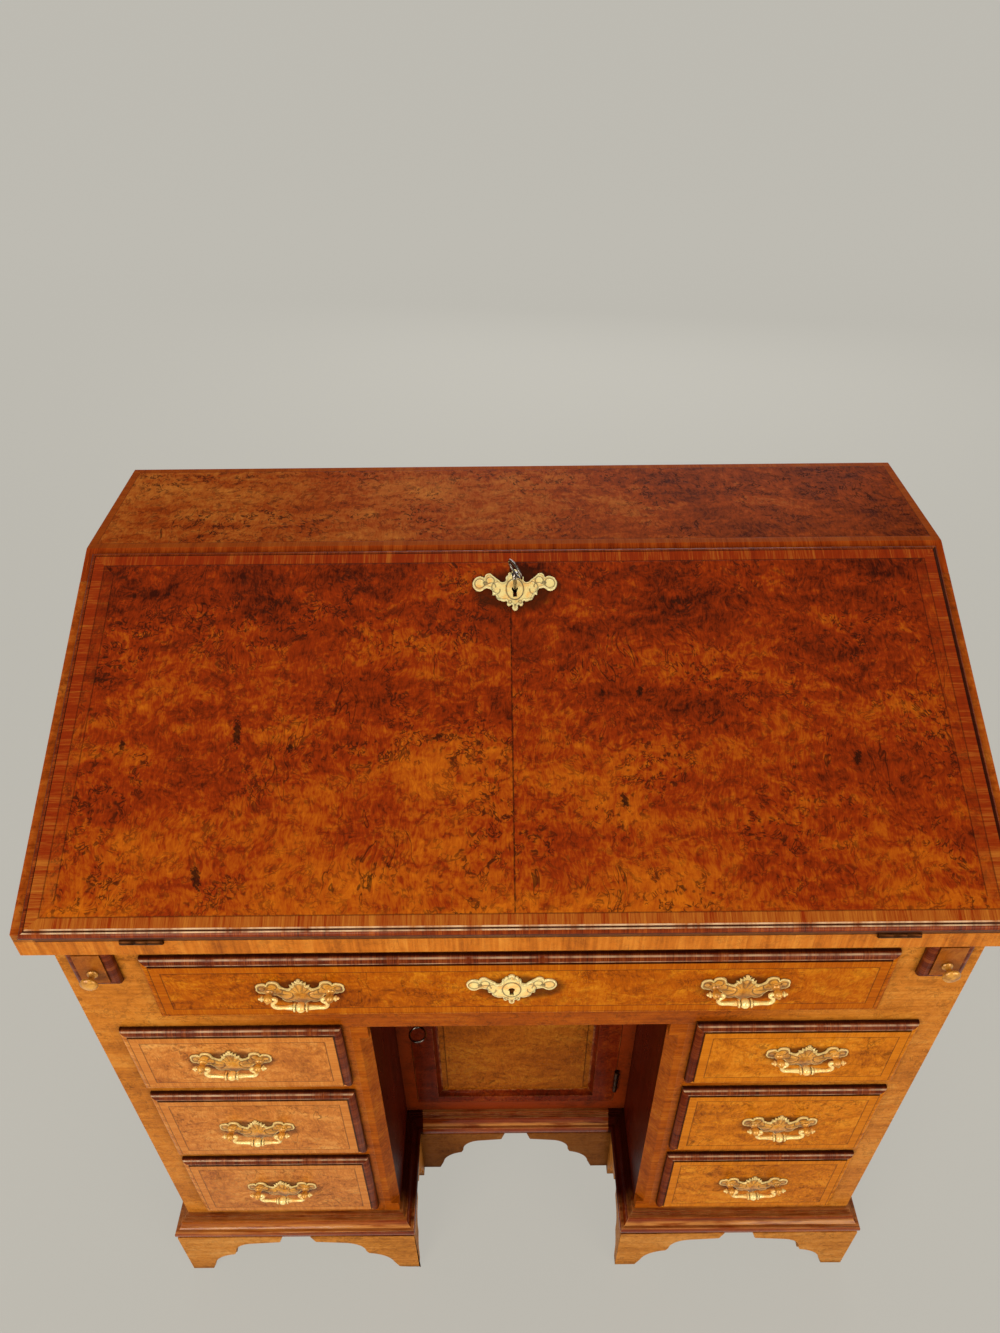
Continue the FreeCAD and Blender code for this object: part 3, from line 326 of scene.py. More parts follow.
@shared_effect(("Vector",), ("Tone", "Eyes", "Cracks"))
def burr_figure(place: Value) -> tuple[Value, ...]:
    """Clouds, ripples, fibres, worm strokes, eyes and hairline cracks of a burr veneer.

    Args:
        place: The place on the veneer, in metres.

    Returns:
        The tone, and masks of the eyes and the cracks.
    """
    bent = place.bent(16.0, 2.0, 30 * MM)
    clouds = bent.stretched((0.7, 1.2, 1.0)).noise(12.0, 4.0, 0.6)
    ripples = bent.stretched((0.45, 1.5, 1.0)).noise(36.0, 3.0, 0.55, 0.7)
    patches = bent.noise(80.0, 3.0, 0.6, 1.1)
    fibres = bent.stretched((1.0, 0.25, 1.0)).noise(420.0, 3.0, 0.65, 0.6)
    wave = (bent.bent(70.0, 3.0, 16 * MM).cells(36.0) * 30.0).math("SINE")
    rings = wave * place.noise(22.0).span(0.45, 0.65)
    tone = clouds * 0.85 + rings * 0.045 + ripples * 0.6 + patches * 0.6 + fibres * 0.65 - 0.85
    cluster = place.noise(14.0, 3.0).span(0.42, 0.64)
    worm_gate = place.noise(95.0, 1.0).span(0.47, 0.56)
    worm_line = abs(bent.noise(100.0, 1.5, 0.5, 1.8) - 0.5).span(0.075, 0.02)
    worms = worm_line * worm_gate * (cluster * 0.6 + 0.45)
    eyes = bent.cells(110.0).span(0.22, 0.1) * cluster * 0.7
    arcs = wave.span(-0.72, -0.97) * worm_gate * 0.5
    split = abs(bent.stretched((1.0, 0.16, 1.0)).noise(15.0, 4.0, 0.6) - 0.5)
    cracks = split.span(0.004, 0.001) * place.noise(9.0, 1.0).span(0.53, 0.6)
    return tone, worms.most(eyes, arcs), cracks


@shared_effect(("Vector",), ("Tone", "Pores"))
def straight_grain(place: Value) -> tuple[Value, ...]:
    """Growth lines and open pores of plain wood.

    Args:
        place: The place on the wood, squeezed along its grain.

    Returns:
        The tone, and a mask of the pores.
    """
    broad = place.noise(38.0, 3.0, 0.55)
    fine = place.noise(260.0, 3.0, 0.6)
    lines = (broad * 52.0).math("SINE")
    return broad + fine * 0.9 - 0.45 + lines * 0.07, place.noise(900.0, 1.0).span(0.63, 0.72)


@shared_effect(("U", "V", "Half U", "Half V"), ("Inset", "Along", "Side"))
def panel_border(u: Value, v: Value, half_u: Value, half_v: Value) -> tuple[Value, ...]:
    """Find the nearest edge of a panel.

    Args:
        u: The run across from the panel's middle.
        v: The run up from its middle.
        half_u: Half its width.
        half_v: Half its height.

    Returns:
        The distance in from the edge, the run along it, and a mask of the two sides.
    """
    from_side = half_u - abs(u)
    from_end = half_v - abs(v)
    side = from_side < from_end
    return from_side.math("MINIMUM", from_end), (v - u) * side + u, side


@shared_effect(("Vector", "Base"), ("Roughness", "Ripple"))
def old_polish(place: Value, base: Value) -> tuple[Value, ...]:
    """Hand-rubbed polish: smears of gloss and a faint ripple.

    Args:
        place: The place on the piece.
        base: The roughness that the smears lie about.

    Returns:
        The roughness and the ripple's height.
    """
    smear = place.noise(14.0, 4.0, 0.6, 0.4)
    rub = place.noise(130.0)
    return base + smear * 0.2 + rub * 0.1 - 0.15, place.noise(420.0)


@shared_effect(("Vector", "Half", "Near", "Front"), ("Shelter",))
def sheltered_wood(place: Value, half: Value, near: Value, front: Value) -> tuple[Value, ...]:
    """Painted shade on the wood inside the kneehole, which also stands for wood that the sun never bleached.

    Args:
        place: The place on the piece.
        half: Half the kneehole's width.
        near: How near its middle the mask starts.
        front: Where it fades in.

    Returns:
        A mask of the painted shade.
    """
    x, y, _ = place.parts()
    return ((abs(x) < half) * (abs(x) > near) * (y - front).span(0.0, 30 * MM),)


@shared_effect(("Vector", "Reach"), ("Grime",))
def corner_grime(place: Value, reach: Value) -> tuple[Value, ...]:
    """Painted shade in corners and beside fittings, from ambient occlusion, which also stands for old wax and
    soiling.

    Args:
        place: The place on the piece.
        reach: How far the darkening spreads, in metres.

    Returns:
        A mask of the painted shade and soiling.
    """
    shut = place.graph.value("AmbientOcclusion", {"Distance": reach}, "AO", samples=6)
    return ((1.0 - shut) * (place.noise(70.0, 3.0) * 0.9 + 0.55),)


@shared_effect(("Vector", "Width"), ("Wear",))
def edge_wear(place: Value, width: Value) -> tuple[Value, ...]:
    """Rubbed arrises, broken up along their length.

    Args:
        place: The place on the piece.
        width: The rubbed width in metres.

    Returns:
        A mask of the wear.
    """
    eased = place.graph.value("Bevel", {"Radius": width}, samples=4)
    turn = 1.0 - eased.dot(place.graph.normal())
    return (turn.span(0.01, 0.12) * place.noise(85.0, 4.0, 0.65).span(0.4, 0.62),)


def start_material(name: str) -> tuple[Material, bpy.types.Node, Value]:
    """Start a material with an empty graph and its surface shader.

    Args:
        name: The finish's name.

    Returns:
        The material, its shader and the place on the piece in metres.
    """
    material = bpy.data.materials.new(name)
    material.use_nodes = True
    material.node_tree.nodes.clear()
    graph = Graph(material.node_tree)
    shader = graph.node("BsdfPrincipled", {})
    graph.node("OutputMaterial", {"Surface": shader.outputs[0]})
    return material, shader, graph.value("TexCoord", {}, "Object")


def finish_surface(shader: bpy.types.Node, colour: Value, rough: Value, height: Value, depth: float,
                   others: dict[str, Feed]) -> None:
    """Feed a shader its colour, roughness, relief and whatever else the finish sets.

    Args:
        shader: The surface shader.
        colour: The colour over the surface.
        rough: The roughness over the surface.
        height: The relief over the surface.
        depth: The relief's depth in metres.
        others: Other inputs of the shader by name.
    """
    bump = colour.graph.value("Bump", {"Strength": 0.6, "Distance": depth, "Height": height})
    colour.graph.feed(shader, {"Base Color": colour, "Roughness": rough, "Normal": bump, **others})


def polished(gloss: float, glaze: Feed) -> dict[str, Feed]:
    """The shader's inputs for waxed wood: a warm gloss, and a glaze over it."""
    return {"Specular IOR Level": gloss, "Specular Tint": shade(SHEEN), "Coat Weight": glaze,
            "Coat Roughness": POLISH_ROUGH}


@dataclass(frozen=True)
class Stain:
    """Three tones of a stained wood, from its dark lines to its light ground."""

    deep: str
    warm: str
    light: str

    def stops(self) -> Stops:
        """The tones as stops of a colour ramp."""
        return ((0.12, self.deep), (0.5, self.warm), (0.92, self.light))


class Grain(Enum):
    """The way a board's grain runs, as the squeeze that draws a pattern out along it."""

    ACROSS = (0.05, 1.0, 1.0)
    DEEP = (1.0, 0.05, 1.0)
    UPRIGHT = (1.0, 1.0, 0.05)


class Edge(Enum):
    """The edges of a panel, seen from the front."""

    LEFT = "left"
    RIGHT = "right"
    LOW = "low"
    HIGH = "high"


class Plane(Enum):
    """The plane that a panel lies in, as the shares of Y and Z in its upward run."""

    FRONT = (0.0, 1.0)
    TOP = (1.0, 0.0)
    SLOPE = (ALONG.y, ALONG.z)


@dataclass(frozen=True)
class Facing:
    """A strip of other veneer on one face of a board: which way it looks, how far out, and its wood."""

    normal: Pair
    level: float
    stain: Stain
    grain: Grain
    depth: float = 0.6 * MM


@dataclass(frozen=True)
class Shelter:
    """Painted shade inside the kneehole, also standing for wood the sun never bleached: its share and tone,
    and where it starts.
    """

    share: float
    tone: str
    near: float = -1.0
    behind: float = 0.0


@dataclass(frozen=True)
class WoodFinish:
    """Polished plain or lightly figured wood."""

    name: str
    stain: Stain
    grain: Grain
    burr: float = 0.35
    rough: float = 0.34
    coat: float = 0.03
    grime: float = 0.75
    wear: str = "c98a4a"
    facing: Facing | None = None
    shelter: Shelter | None = None
    sunned: Stain | None = None
    gloss: float = 0.12
    rubbed: str = ""
    board: float = 0.0

    def material(self) -> Material:
        """Build the finish.

        Returns:
            The material, with grain, pores, polish, worn edges and painted shade in corners, plus any painted
            shade in the kneehole and painted highlight on rounds.
        """
        material, shader, place = start_material(self.name)
        figure, eyes, _ = burr_figure(place)
        colour, pores = self.plain(place, self.stain, self.grain, figure)
        if self.facing:
            strip, strip_pores = self.plain(place, self.facing.stain, self.facing.grain, figure)
            on_strip = place.dot((0.0, *self.facing.normal)) > self.facing.level - self.facing.depth
            colour = on_strip.pick(colour, strip)
            pores = on_strip.pick(pores, strip_pores)
        if self.sunned:
            pale, _ = self.plain(place, self.sunned, self.grain, figure)
            colour = abs(place.parts()[0]).span(SUN_FROM, SUN_TO).pick(colour, pale)
        if self.board:
            colour = self.boarded(place, colour)
        colour = colour.toned(eyes * (0.7 * self.burr), FLAW)
        exposed: Feed = 1.0
        glaze: Feed = self.coat
        # Painted shade over the wood inside the kneehole, darker where the figure is dark.
        if self.shelter:
            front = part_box("outer_sides")[0].y + self.shelter.behind
            knee, = sheltered_wood(place, KNEE_HALF, self.shelter.near, front)
            dark = figure.ramp(KNEE_FIGURE).stretched(shade(self.shelter.tone)[:3])
            colour = (knee * self.shelter.share).pick(colour, dark)
            exposed = 1.0 - knee
            glaze = exposed * self.coat
        worn, = edge_wear(place, 1.6 * MM)
        colour = colour.toned(worn * exposed * 0.35, self.wear)
        # Painted highlight along rounds that face up and to the front, streaked along the moulding.
        if self.rubbed:
            lit = place.graph.normal().dot(HIGHLIGHT_WAY).span(0.78, 0.97)
            streaks = place.stretched((0.4, 3.0, 3.0)).noise(60.0, 3.0).span(0.3, 0.6)
            colour = colour.toned(lit * streaks * exposed * 0.6, self.rubbed)
        # Painted shade in corners and crevices, from ambient occlusion, also standing for soiling.
        shade_and_dirt, = corner_grime(place, 14 * MM)
        colour = colour.toned(shade_and_dirt * self.grime, CORNER_SHADE_AND_GRIME)
        rough, ripple = old_polish(place, self.rough)
        height = ripple * 0.25 - pores * 0.5
        finish_surface(shader, colour, rough + shade_and_dirt * 0.25, height, 0.25 * MM, polished(self.gloss, glaze))
        return material

    def boarded(self, place: Value, colour: Value) -> Value:
        """Give each upright board its own tone and draw the joint beside it.

        Args:
            place: The place on the piece.
            colour: The colour so far.

        Returns:
            The colour with its boards.
        """
        across = place.parts()[0] / self.board + 0.5
        pick = place.graph.value("TexWhiteNoise", {"W": across.math("FLOOR")}, "Value", noise_dimensions="1D")
        colour = colour.toned(pick * 0.4, self.stain.deep)
        middle = abs(across.math("FRACT") - 0.5)
        joint = middle.span(0.5 - 1.4 * MM / self.board, 0.5 - 0.5 * MM / self.board)
        return colour.toned(joint * 0.85, BOARD_JOINT)

    def plain(self, place: Value, stain: Stain, grain: Grain, figure: Value) -> tuple[Value, Value]:
        """Colour one run of wood.

        Args:
            place: The place on the piece.
            stain: The wood's tones.
            grain: The way its grain runs.
            figure: The burr's tone, which is blended in.

        Returns:
            The colour and the pores' mask.
        """
        lines, pores = straight_grain(place.stretched(grain.value))
        tone = (figure - lines) * self.burr + lines
        return tone.ramp(stain.stops()).toned(pores * 0.35, stain.deep), pores


@dataclass(frozen=True)
class Halo:
    """A painted shadow round a fitting, as an oval: its place about the panel's middle and its half sizes."""

    u: float
    v: float
    wide: float
    tall: float


@dataclass(frozen=True)
class Knot(Halo):
    """A dark gouge or knot in a veneer, which also leans."""

    lean: float


@dataclass(frozen=True)
class Hollow:
    """A painted shadow along one edge of a panel: which edge, how far in, and half its width."""

    edge: Edge
    inset: float
    half: float


@dataclass(frozen=True)
class PanelFinish:
    """A burr-veneered panel inside a moulded edge, a crossband and a fine line."""

    name: str
    plane: Plane
    middle: Pair
    half: Pair
    field: Stain
    band: Stain
    lip: Stain
    lip_width: float
    band_width: float
    strip_width: float = 0.0
    line_width: float = 0.9 * MM
    seam: float | None = None
    seed: float = 0.0
    fade: Pair = (0.0, 0.0)
    eyes: float = 0.8
    cracks: float = 0.8
    contrast: float = 1.0
    lines: float = 0.5
    rough: float = 0.3
    coat: float = 0.03
    lip_coat: float = 0.15
    rubbing: float = 0.6
    shine: tuple[Edge, ...] = tuple(Edge)
    glow: float = 0.0
    quirks: tuple[float, ...] = ()
    arrises: tuple[float, ...] = ()
    rim: Stain | None = None
    rim_edges: tuple[Edge, ...] = ()
    gloss: float = 0.1
    knots: tuple[Knot, ...] = ()
    halos: tuple[Halo, ...] = ()
    hollows: tuple[Hollow, ...] = ()

    def material(self) -> Material:
        """Build the finish.

        Returns:
            The material, with its burr, bands, lines, edge and polish, painted shade in corners, round
            fittings and along some edges, and painted highlights on lit edges.
        """
        material, shader, place = start_material(self.name)
        u = place.dot((1.0, 0.0, 0.0)) - self.middle[0]
        v = place.dot((0.0, *self.plane.value)) - self.middle[1]
        inset, along, side = panel_border(u, v, *self.half)
        colour, flaws = self.veneer(u, v)
        inner = self.lip_width + self.band_width
        cross, pores = straight_grain(place.graph.join(along * 3.2, inset * 0.15, self.seed))
        # Near the bottom edge the band is lightened by glow: a painted highlight.
        band_tone = cross * 0.5 + 0.25 + v.span(-0.3 * self.half[1], -self.half[1]) * self.glow
        band = band_tone.ramp(self.band.stops()).toned(pores * 0.3, self.band.deep)
        lip = cross.ramp(self.lip.stops())
        # Lips on the listed edges take the lighter rim stain, painted as lit; the others keep the dark lip
        # stain.
        if self.rim:
            lip = self.on_edges(side, (u, v), self.rim_edges).pick(lip, cross.ramp(self.rim.stops()))
        colour = (inset < inner).pick(colour, band)
        lines = self.line(inset, inner)
        if self.strip_width:
            strip_end = inner + self.strip_width
            strip = (inset > inner) * (inset < strip_end) * side
            colour = (strip * 0.4).pick(colour, band)
            lines = lines.most(self.line(inset, strip_end) * side)
        # Painted shadow round each fitting.
        for halo in self.halos:
            colour = colour.toned(self.dirt_round(u, v, halo) * 0.8, FITTING_SHADE)
        on_lip = inset < self.lip_width
        colour = on_lip.pick(colour.toned(lines * self.lines, STRINGING), lip)
        lit = self.on_edges(side, (u, v), self.shine)
        colour = self.moulded(colour, inset, along, lit)
        # Painted shadow along the lip on the chosen edges.
        for hollow in self.hollows:
            sunk = abs(inset - hollow.inset).span(hollow.half, 0.6 * hollow.half)
            colour = colour.toned(sunk * self.on_edges(side, (u, v), (hollow.edge,)) * 0.88, LIP_EDGE_SHADE)
        worn, = edge_wear(place, 1.4 * MM)
        colour = colour.toned(worn * inset.span(5 * MM, 2 * MM) * 0.4, PANEL_WEAR)
        # Painted shade in corners, from ambient occlusion, also standing for soiling.
        shade_and_dirt, = corner_grime(place, 11 * MM)
        colour = colour.toned(shade_and_dirt * 0.75, PANEL_SHADE_AND_GRIME)
        rough, ripple = old_polish(place, self.rough)
        height = ripple * 0.3 - flaws * 0.6 - lines * 0.7
        glaze = on_lip * lit * (self.lip_coat - self.coat) + self.coat
        finish_surface(shader, colour, rough + flaws * 0.2, height, 0.3 * MM, polished(self.gloss, glaze))
        return material

    def on_edges(self, side: Value, place: tuple[Value, Value], edges: tuple[Edge, ...]) -> Value:
        """A mask of some of the panel's edges.

        Args:
            side: A mask of the two sides.
            place: The runs across and up the panel.
            edges: The edges to pick.

        Returns:
            The mask.
        """
        u, v = place
        masks = {Edge.LEFT: lambda: side * (u < 0.0), Edge.RIGHT: lambda: side * (u > 0.0),
                 Edge.LOW: lambda: (1.0 - side) * (v < 0.0), Edge.HIGH: lambda: (1.0 - side) * (v > 0.0)}
        return reduce(Value.__add__, (masks[edge]() for edge in edges))

    def moulded(self, colour: Value, inset: Value, along: Value, lit: Value) -> Value:
        """Draw the lip's painted shade lines, and painted highlight lines along its lit edges.

        Args:
            colour: The colour so far.
            inset: The distance in from the edge.
            along: The run along the edge.
            lit: A mask of the lit edges.

        Returns:
            The colour with the lines on it.
        """
        # Painted shade lines where the lip meets the band and at its outer edge.
        for at in self.quirks:
            colour = colour.toned(self.line(inset, at) * 0.8, QUIRK_SHADE)
        broken = along.graph.join(along, 0.0, self.seed).noise(30.0, 4.0, 0.7).span(0.34, 0.6)
        # Painted highlight lines on the lit edges, broken along their length.
        for at in self.arrises:
            colour = colour.toned(self.line(inset, at) * broken * lit * self.rubbing, ARRIS_HIGHLIGHT)
        return colour

    def line(self, inset: Value, at: float) -> Value:
        """A mask of a fine line at one distance in from the edge."""
        return abs(inset - at).span(self.line_width, self.line_width * 0.4)

    def veneer(self, u: Value, v: Value) -> tuple[Value, Value]:
        """Lay the burr in one leaf or two, with its seam, knots and cracks.

        Args:
            u: The run across the panel.
            v: The run up the panel.

        Returns:
            The field's colour, and a mask of its flaws.
        """
        leaf: Feed = self.seed
        if self.seam is not None:
            leaf = (u > self.seam) * 1.7 + self.seed
        figure, eyes, cracks = burr_figure(u.graph.join(u, v, leaf))
        tone = (figure - 0.5) * self.contrast + 0.5 + u * self.fade[0] + v * self.fade[1]
        colour = tone.ramp(self.field.stops()).toned(eyes * self.eyes, EYE)
        flaws = cracks * self.cracks
        if self.seam is not None:
            flaws = flaws.most(self.joint_line(u, v))
        flaws = flaws.most(*(self.gouge(u, v, knot) for knot in self.knots))
        return colour.toned(flaws * 0.85, CRACK), flaws.most(eyes * 0.5)

    def joint_line(self, u: Value, v: Value) -> Value:
        """The dark, broken line where two leaves meet."""
        broken = u.graph.join(0.0, v, self.seed).noise(150.0, 1.0).span(0.38, 0.6)
        return abs(u - self.seam).span(1.1 * MM, 0.4 * MM) * (broken * 0.45 + 0.5)

    def dirt_round(self, u: Value, v: Value, halo: Halo) -> Value:
        """A soft oval of painted shadow round a fitting, with a ragged edge.

        Args:
            u: The run across the panel.
            v: The run up the panel.
            halo: The oval's place and sizes.

        Returns:
            A mask of the oval.
        """
        across = (u - halo.u) / halo.wide
        upward = (v - halo.v) / halo.tall
        away = (across * across + upward * upward).math("SQRT")
        ragged = u.graph.join(u, v, self.seed).noise(70.0, 3.0)
        return (away + ragged * 0.5 - 0.25).span(1.2, 0.75)

    def gouge(self, u: Value, v: Value, knot: Knot) -> Value:
        """A ragged dark oval at a knot's place.

        Args:
            u: The run across the panel.
            v: The run up the panel.
            knot: The oval's place, sizes and lean.

        Returns:
            A mask of the oval.
        """
        lean = (math.cos(knot.lean), math.sin(knot.lean))
        place = u.graph.join(u - knot.u, v - knot.v, 0.0)
        across = place.dot((lean[0] / knot.wide, lean[1] / knot.wide, 0.0))
        along = place.dot((-lean[1] / knot.tall, lean[0] / knot.tall, 0.0))
        ragged = place.noise(330.0, 3.0, 0.7)
        return (across * across + along * along + ragged * 4.4 - 2.2).span(1.0, 0.3)


@dataclass(frozen=True)
class MetalFinish:
    """Cast and filed metal with bright worn edges, a rim painted bright as a highlight, and hollows darkened
    by patina and by painted shade.
    """

    name: str
    bright: str
    body: str
    dull: str
    hollow: str
    rough: float
    pits: float = 0.25
    metal: float = 1.0
    lacquer: float = 0.0

    def material(self) -> Material:
        """Build the finish.

        Returns:
            The material, with tarnish, dark engraving, a rim painted as a highlight, painted shade in hollows
            and on edge walls, scratches and pits.
        """
        material, shader, place = start_material(self.name)
        groove, rim = (place.graph.value("Attribute", {}, "Fac", attribute_name=key) for key in CHASE_AND_LIGHT)
        cloud = place.noise(90.0, 4.0, 0.6)
        colour = cloud.span(0.42, 0.68).pick(shade(self.body), shade(self.dull))
        # The rim is painted bright as a highlight.
        colour = colour.toned(rim * 0.75, self.bright)
        # Painted shade in hollows and under fittings, from ambient occlusion, which also stands for patina.
        shade_and_dirt, = corner_grime(place, 2.6 * MM)
        worn, = edge_wear(place, 0.7 * MM)
        colour = colour.toned(shade_and_dirt.span(0.3, 0.75), self.hollow).toned(worn * 0.6, self.bright)
        # Engraving darkens with patina; the plate's edge walls darken the same way, as painted shade.
        colour = colour.toned(groove * 0.95, self.hollow)
        scratches = place.stretched((1.0, 1.0, 0.12)).noise(1500.0)
        pitted = place.noise(620.0, 3.0, 0.6).span(0.6, 0.72)
        rough = cloud * 0.22 + (self.rough - 0.11) + shade_and_dirt * 0.2 + groove * 0.2
        height = scratches * 0.12 - pitted * self.pits
        coat = {"Metallic": self.metal, "Coat Weight": self.lacquer, "Coat Roughness": LACQUER_ROUGH}
        finish_surface(shader, colour, rough, height, 0.2 * MM, coat)
        return material


def spoke(turn: float) -> Vector:
    """The direction at a turn from X toward Y."""
    return Vector((math.cos(turn), math.sin(turn), 0))


def turns(count: int) -> list[float]:
    """Evenly spaced turns of a full circle."""
    return [TURN * at / count for at in range(count)]


def in_mm(pairs: list[Pair]) -> list[Pair]:
    """Pairs given in millimetres, in metres."""
    return [(a * MM, b * MM) for a, b in pairs]


class Shell:
    """Points and faces of one piece, gathered from turned, swept and cut parts."""

    def __init__(self) -> None:
        """Start with nothing."""
        self.points: list[Vector] = []
        self.faces: list[Face] = []
        self.chasing: list[Pair] = []

    def add(self, points: list[Vector], faces: list[Face], place: Matrix,
            chasing: list[Pair] | None = None) -> None:
        """Add points and faces, set in place.

        Args:
            points: The part's own points.
            faces: Its faces, as numbers of those points.
            place: Where it goes.
            chasing: For each point, from 0 to 1, its darkening from engraving and painted shade, and its
                painted rim highlight.
        """
        start = len(self.points)
        self.points += [place @ point for point in points]
        self.faces += [tuple(start + at for at in face) for face in faces]
        self.chasing += chasing or [(0.0, 0.0)] * len(points)

    def rings(self, rings: list[list[Vector]], place: Matrix) -> None:
        """Join a row of rings into a closed skin.

        Args:
            rings: Rings of as many points each, in order.
            place: Where the skin goes.
        """
        count = len(rings[0])
        points = [point for ring in rings for point in ring]
        faces = []
        for here in range(0, len(points) - count, count):
            for at in range(count):
                after = (at + 1) % count
                faces.append((here + at, here + after, here + count + after, here + count + at))
        faces.append(tuple(reversed(range(count))))
        faces.append(tuple(range(len(points) - count, len(points))))
        self.add(points, faces, place)

    def turned(self, profile: list[Pair], place: Matrix, count: int = 28, dark_share: float = 0.0) -> None:
        """Turn a profile round the Z axis.

        Args:
            profile: Radius and height pairs from the foot up.
            place: Where the turning goes.
            count: Sides of the turning.
            dark_share: How far the turning is darkened, from 0 to 1.
        """
        start = len(self.points)
        rings = [[spoke(turn) * radius + UP * height for turn in turns(count)] for radius, height in profile]
        self.rings(rings, place)
        self.chasing[start:] = [(dark_share, 0.0)] * (len(self.points) - start)

    def swept(self, path: list[Vector], radii: list[float], place: Matrix, count: int = 14) -> None:
        """Sweep a circle of changing size along a flat path in X and Y.

        Args:
            path: Points along the sweep.
            radii: The circle's radius at each point.
            place: Where the sweep goes.
            count: Sides of the circle.
        """
        rings = []
        for at, (point, radius) in enumerate(zip(path, radii)):
            run = (path[min(at + 1, len(path) - 1)] - path[max(at - 1, 0)]).normalized()
            side = Vector((-run.y, run.x, 0))
            ways = [side * math.cos(turn) + UP * math.sin(turn) for turn in turns(count)]
            rings.append([point + way * radius for way in ways])
        self.rings(rings, place)

    def hoop(self, wide: float, tall: float, thick: float, flat: float, place: Matrix) -> None:
        """A closed oval hoop in X and Y.

        Args:
            wide: Half its width, to the middle of its bar.
            tall: Half its height, to the middle of its bar.
            thick: The bar's radius in the hoop's plane.
            flat: The bar's radius across that plane.
            place: Where the hoop goes.
        """
        steps, sides = 48, 12
        points, faces = [], []
        for step, turn in enumerate(turns(steps)):
            outward = spoke(turn)
            centre = Vector((wide * outward.x, tall * outward.y, 0))
            for side, lean in enumerate(turns(sides)):
                points.append(centre + outward * (thick * math.cos(lean)) + UP * (flat * math.sin(lean)))
                ahead = (step + 1) % steps * sides
                after = (side + 1) % sides
                faces.append((step * sides + side, ahead + side, ahead + after, step * sides + after))
        self.add(points, faces, place)

    def mesh(self, name: str, crease: float = 42.0) -> bpy.types.Mesh:
        """Make the mesh.

        Args:
            name: The mesh's name.
            crease: The angle in degrees past which an edge stays sharp.

        Returns:
            A smooth-shaded mesh.
        """
        mesh = bpy.data.meshes.new(name)
        mesh.from_pydata([tuple(point) for point in self.points], [], self.faces)
        mesh.validate()
        for at, key in enumerate(CHASE_AND_LIGHT):
            layer = mesh.attributes.new(key, "FLOAT", "POINT")
            layer.data.foreach_set("value", [pair[at] for pair in self.chasing])
        mesh.shade_smooth()
        mesh.set_sharp_from_angle(angle=math.radians(crease))
        return mesh


def place_on(origin: Vector, across: Vector, upward: Vector) -> Matrix:
    """A place whose X runs across, Y upward and Z out of the face.

    Args:
        origin: The place's middle.
        across: The direction of X.
        upward: The direction of Y.

    Returns:
        The matrix from the place to the frame.
    """
    turn = Matrix((across, upward, across.cross(upward))).transposed()
    return Matrix.Translation(origin) @ turn.to_4x4()


def arc(start: Pair, middle: Pair, end: Pair, count: int) -> list[Pair]:
    """Points along a circle's arc through three points, without the first.

    Args:
        start: Where the arc starts.
        middle: A point on it.
        end: Where it ends.
        count: Points to give.

    Returns:
        The points in order.
    """
    a, b, c = (complex(*point) for point in (start, middle, end))
    w = (c - a) / (b - a)
    centre = (b - a) * (w - abs(w) ** 2) / (2j * w.imag) + a
    radius = abs(a - centre)
    first = math.atan2((a - centre).imag, (a - centre).real)

    def turn(point: complex) -> float:
        """The turn from the arc's start to a point, always positive."""
        reach = point - centre
        return (math.atan2(reach.imag, reach.real) - first) % TURN

    whole = turn(c)
    if turn(b) > whole:
        whole -= TURN
    swings = [first + whole * (at + 1) / count for at in range(count)]
    return [(centre.real + radius * math.cos(t), centre.imag + radius * math.sin(t)) for t in swings]


def edge_distance(points: np.ndarray, loop: np.ndarray) -> np.ndarray:
    """Distance of each point from a closed loop.

    Args:
        points: The points, one to a row.
        loop: The loop's corners, in order.

    Returns:
        The distances.
    """
    run = np.roll(loop, -1, axis=0) - loop
    gap = points[:, None, :] - loop[None]
    share = np.clip((gap * run).sum(2) / (run ** 2).sum(1), 0, 1)
    return np.sqrt(((gap - share[..., None] * run) ** 2).sum(2)).min(1)


def within(points: np.ndarray, loop: np.ndarray) -> np.ndarray:
    """Which points lie inside a closed loop.

    Args:
        points: The points, one to a row.
        loop: The loop's corners, in order.

    Returns:
        True for each point inside.
    """
    end = np.roll(loop, -1, axis=0)
    x, y = points[:, :1], points[:, 1:]
    crosses = (loop[:, 1] > y) != (end[:, 1] > y)
    rise = np.where(end[:, 1] == loop[:, 1], 1e-12, end[:, 1] - loop[:, 1])
    at = (end[:, 0] - loop[:, 0]) * (y - loop[:, 1]) / rise + loop[:, 0]
    return (crosses & (x < at)).sum(1) % 2 == 1


@dataclass(frozen=True)
class Scroll:
    """An engraved curl, mirrored on the plate's other half: its middle, radius and part of a turn."""

    middle: Pair
    radius: float
    start: float
    end: float


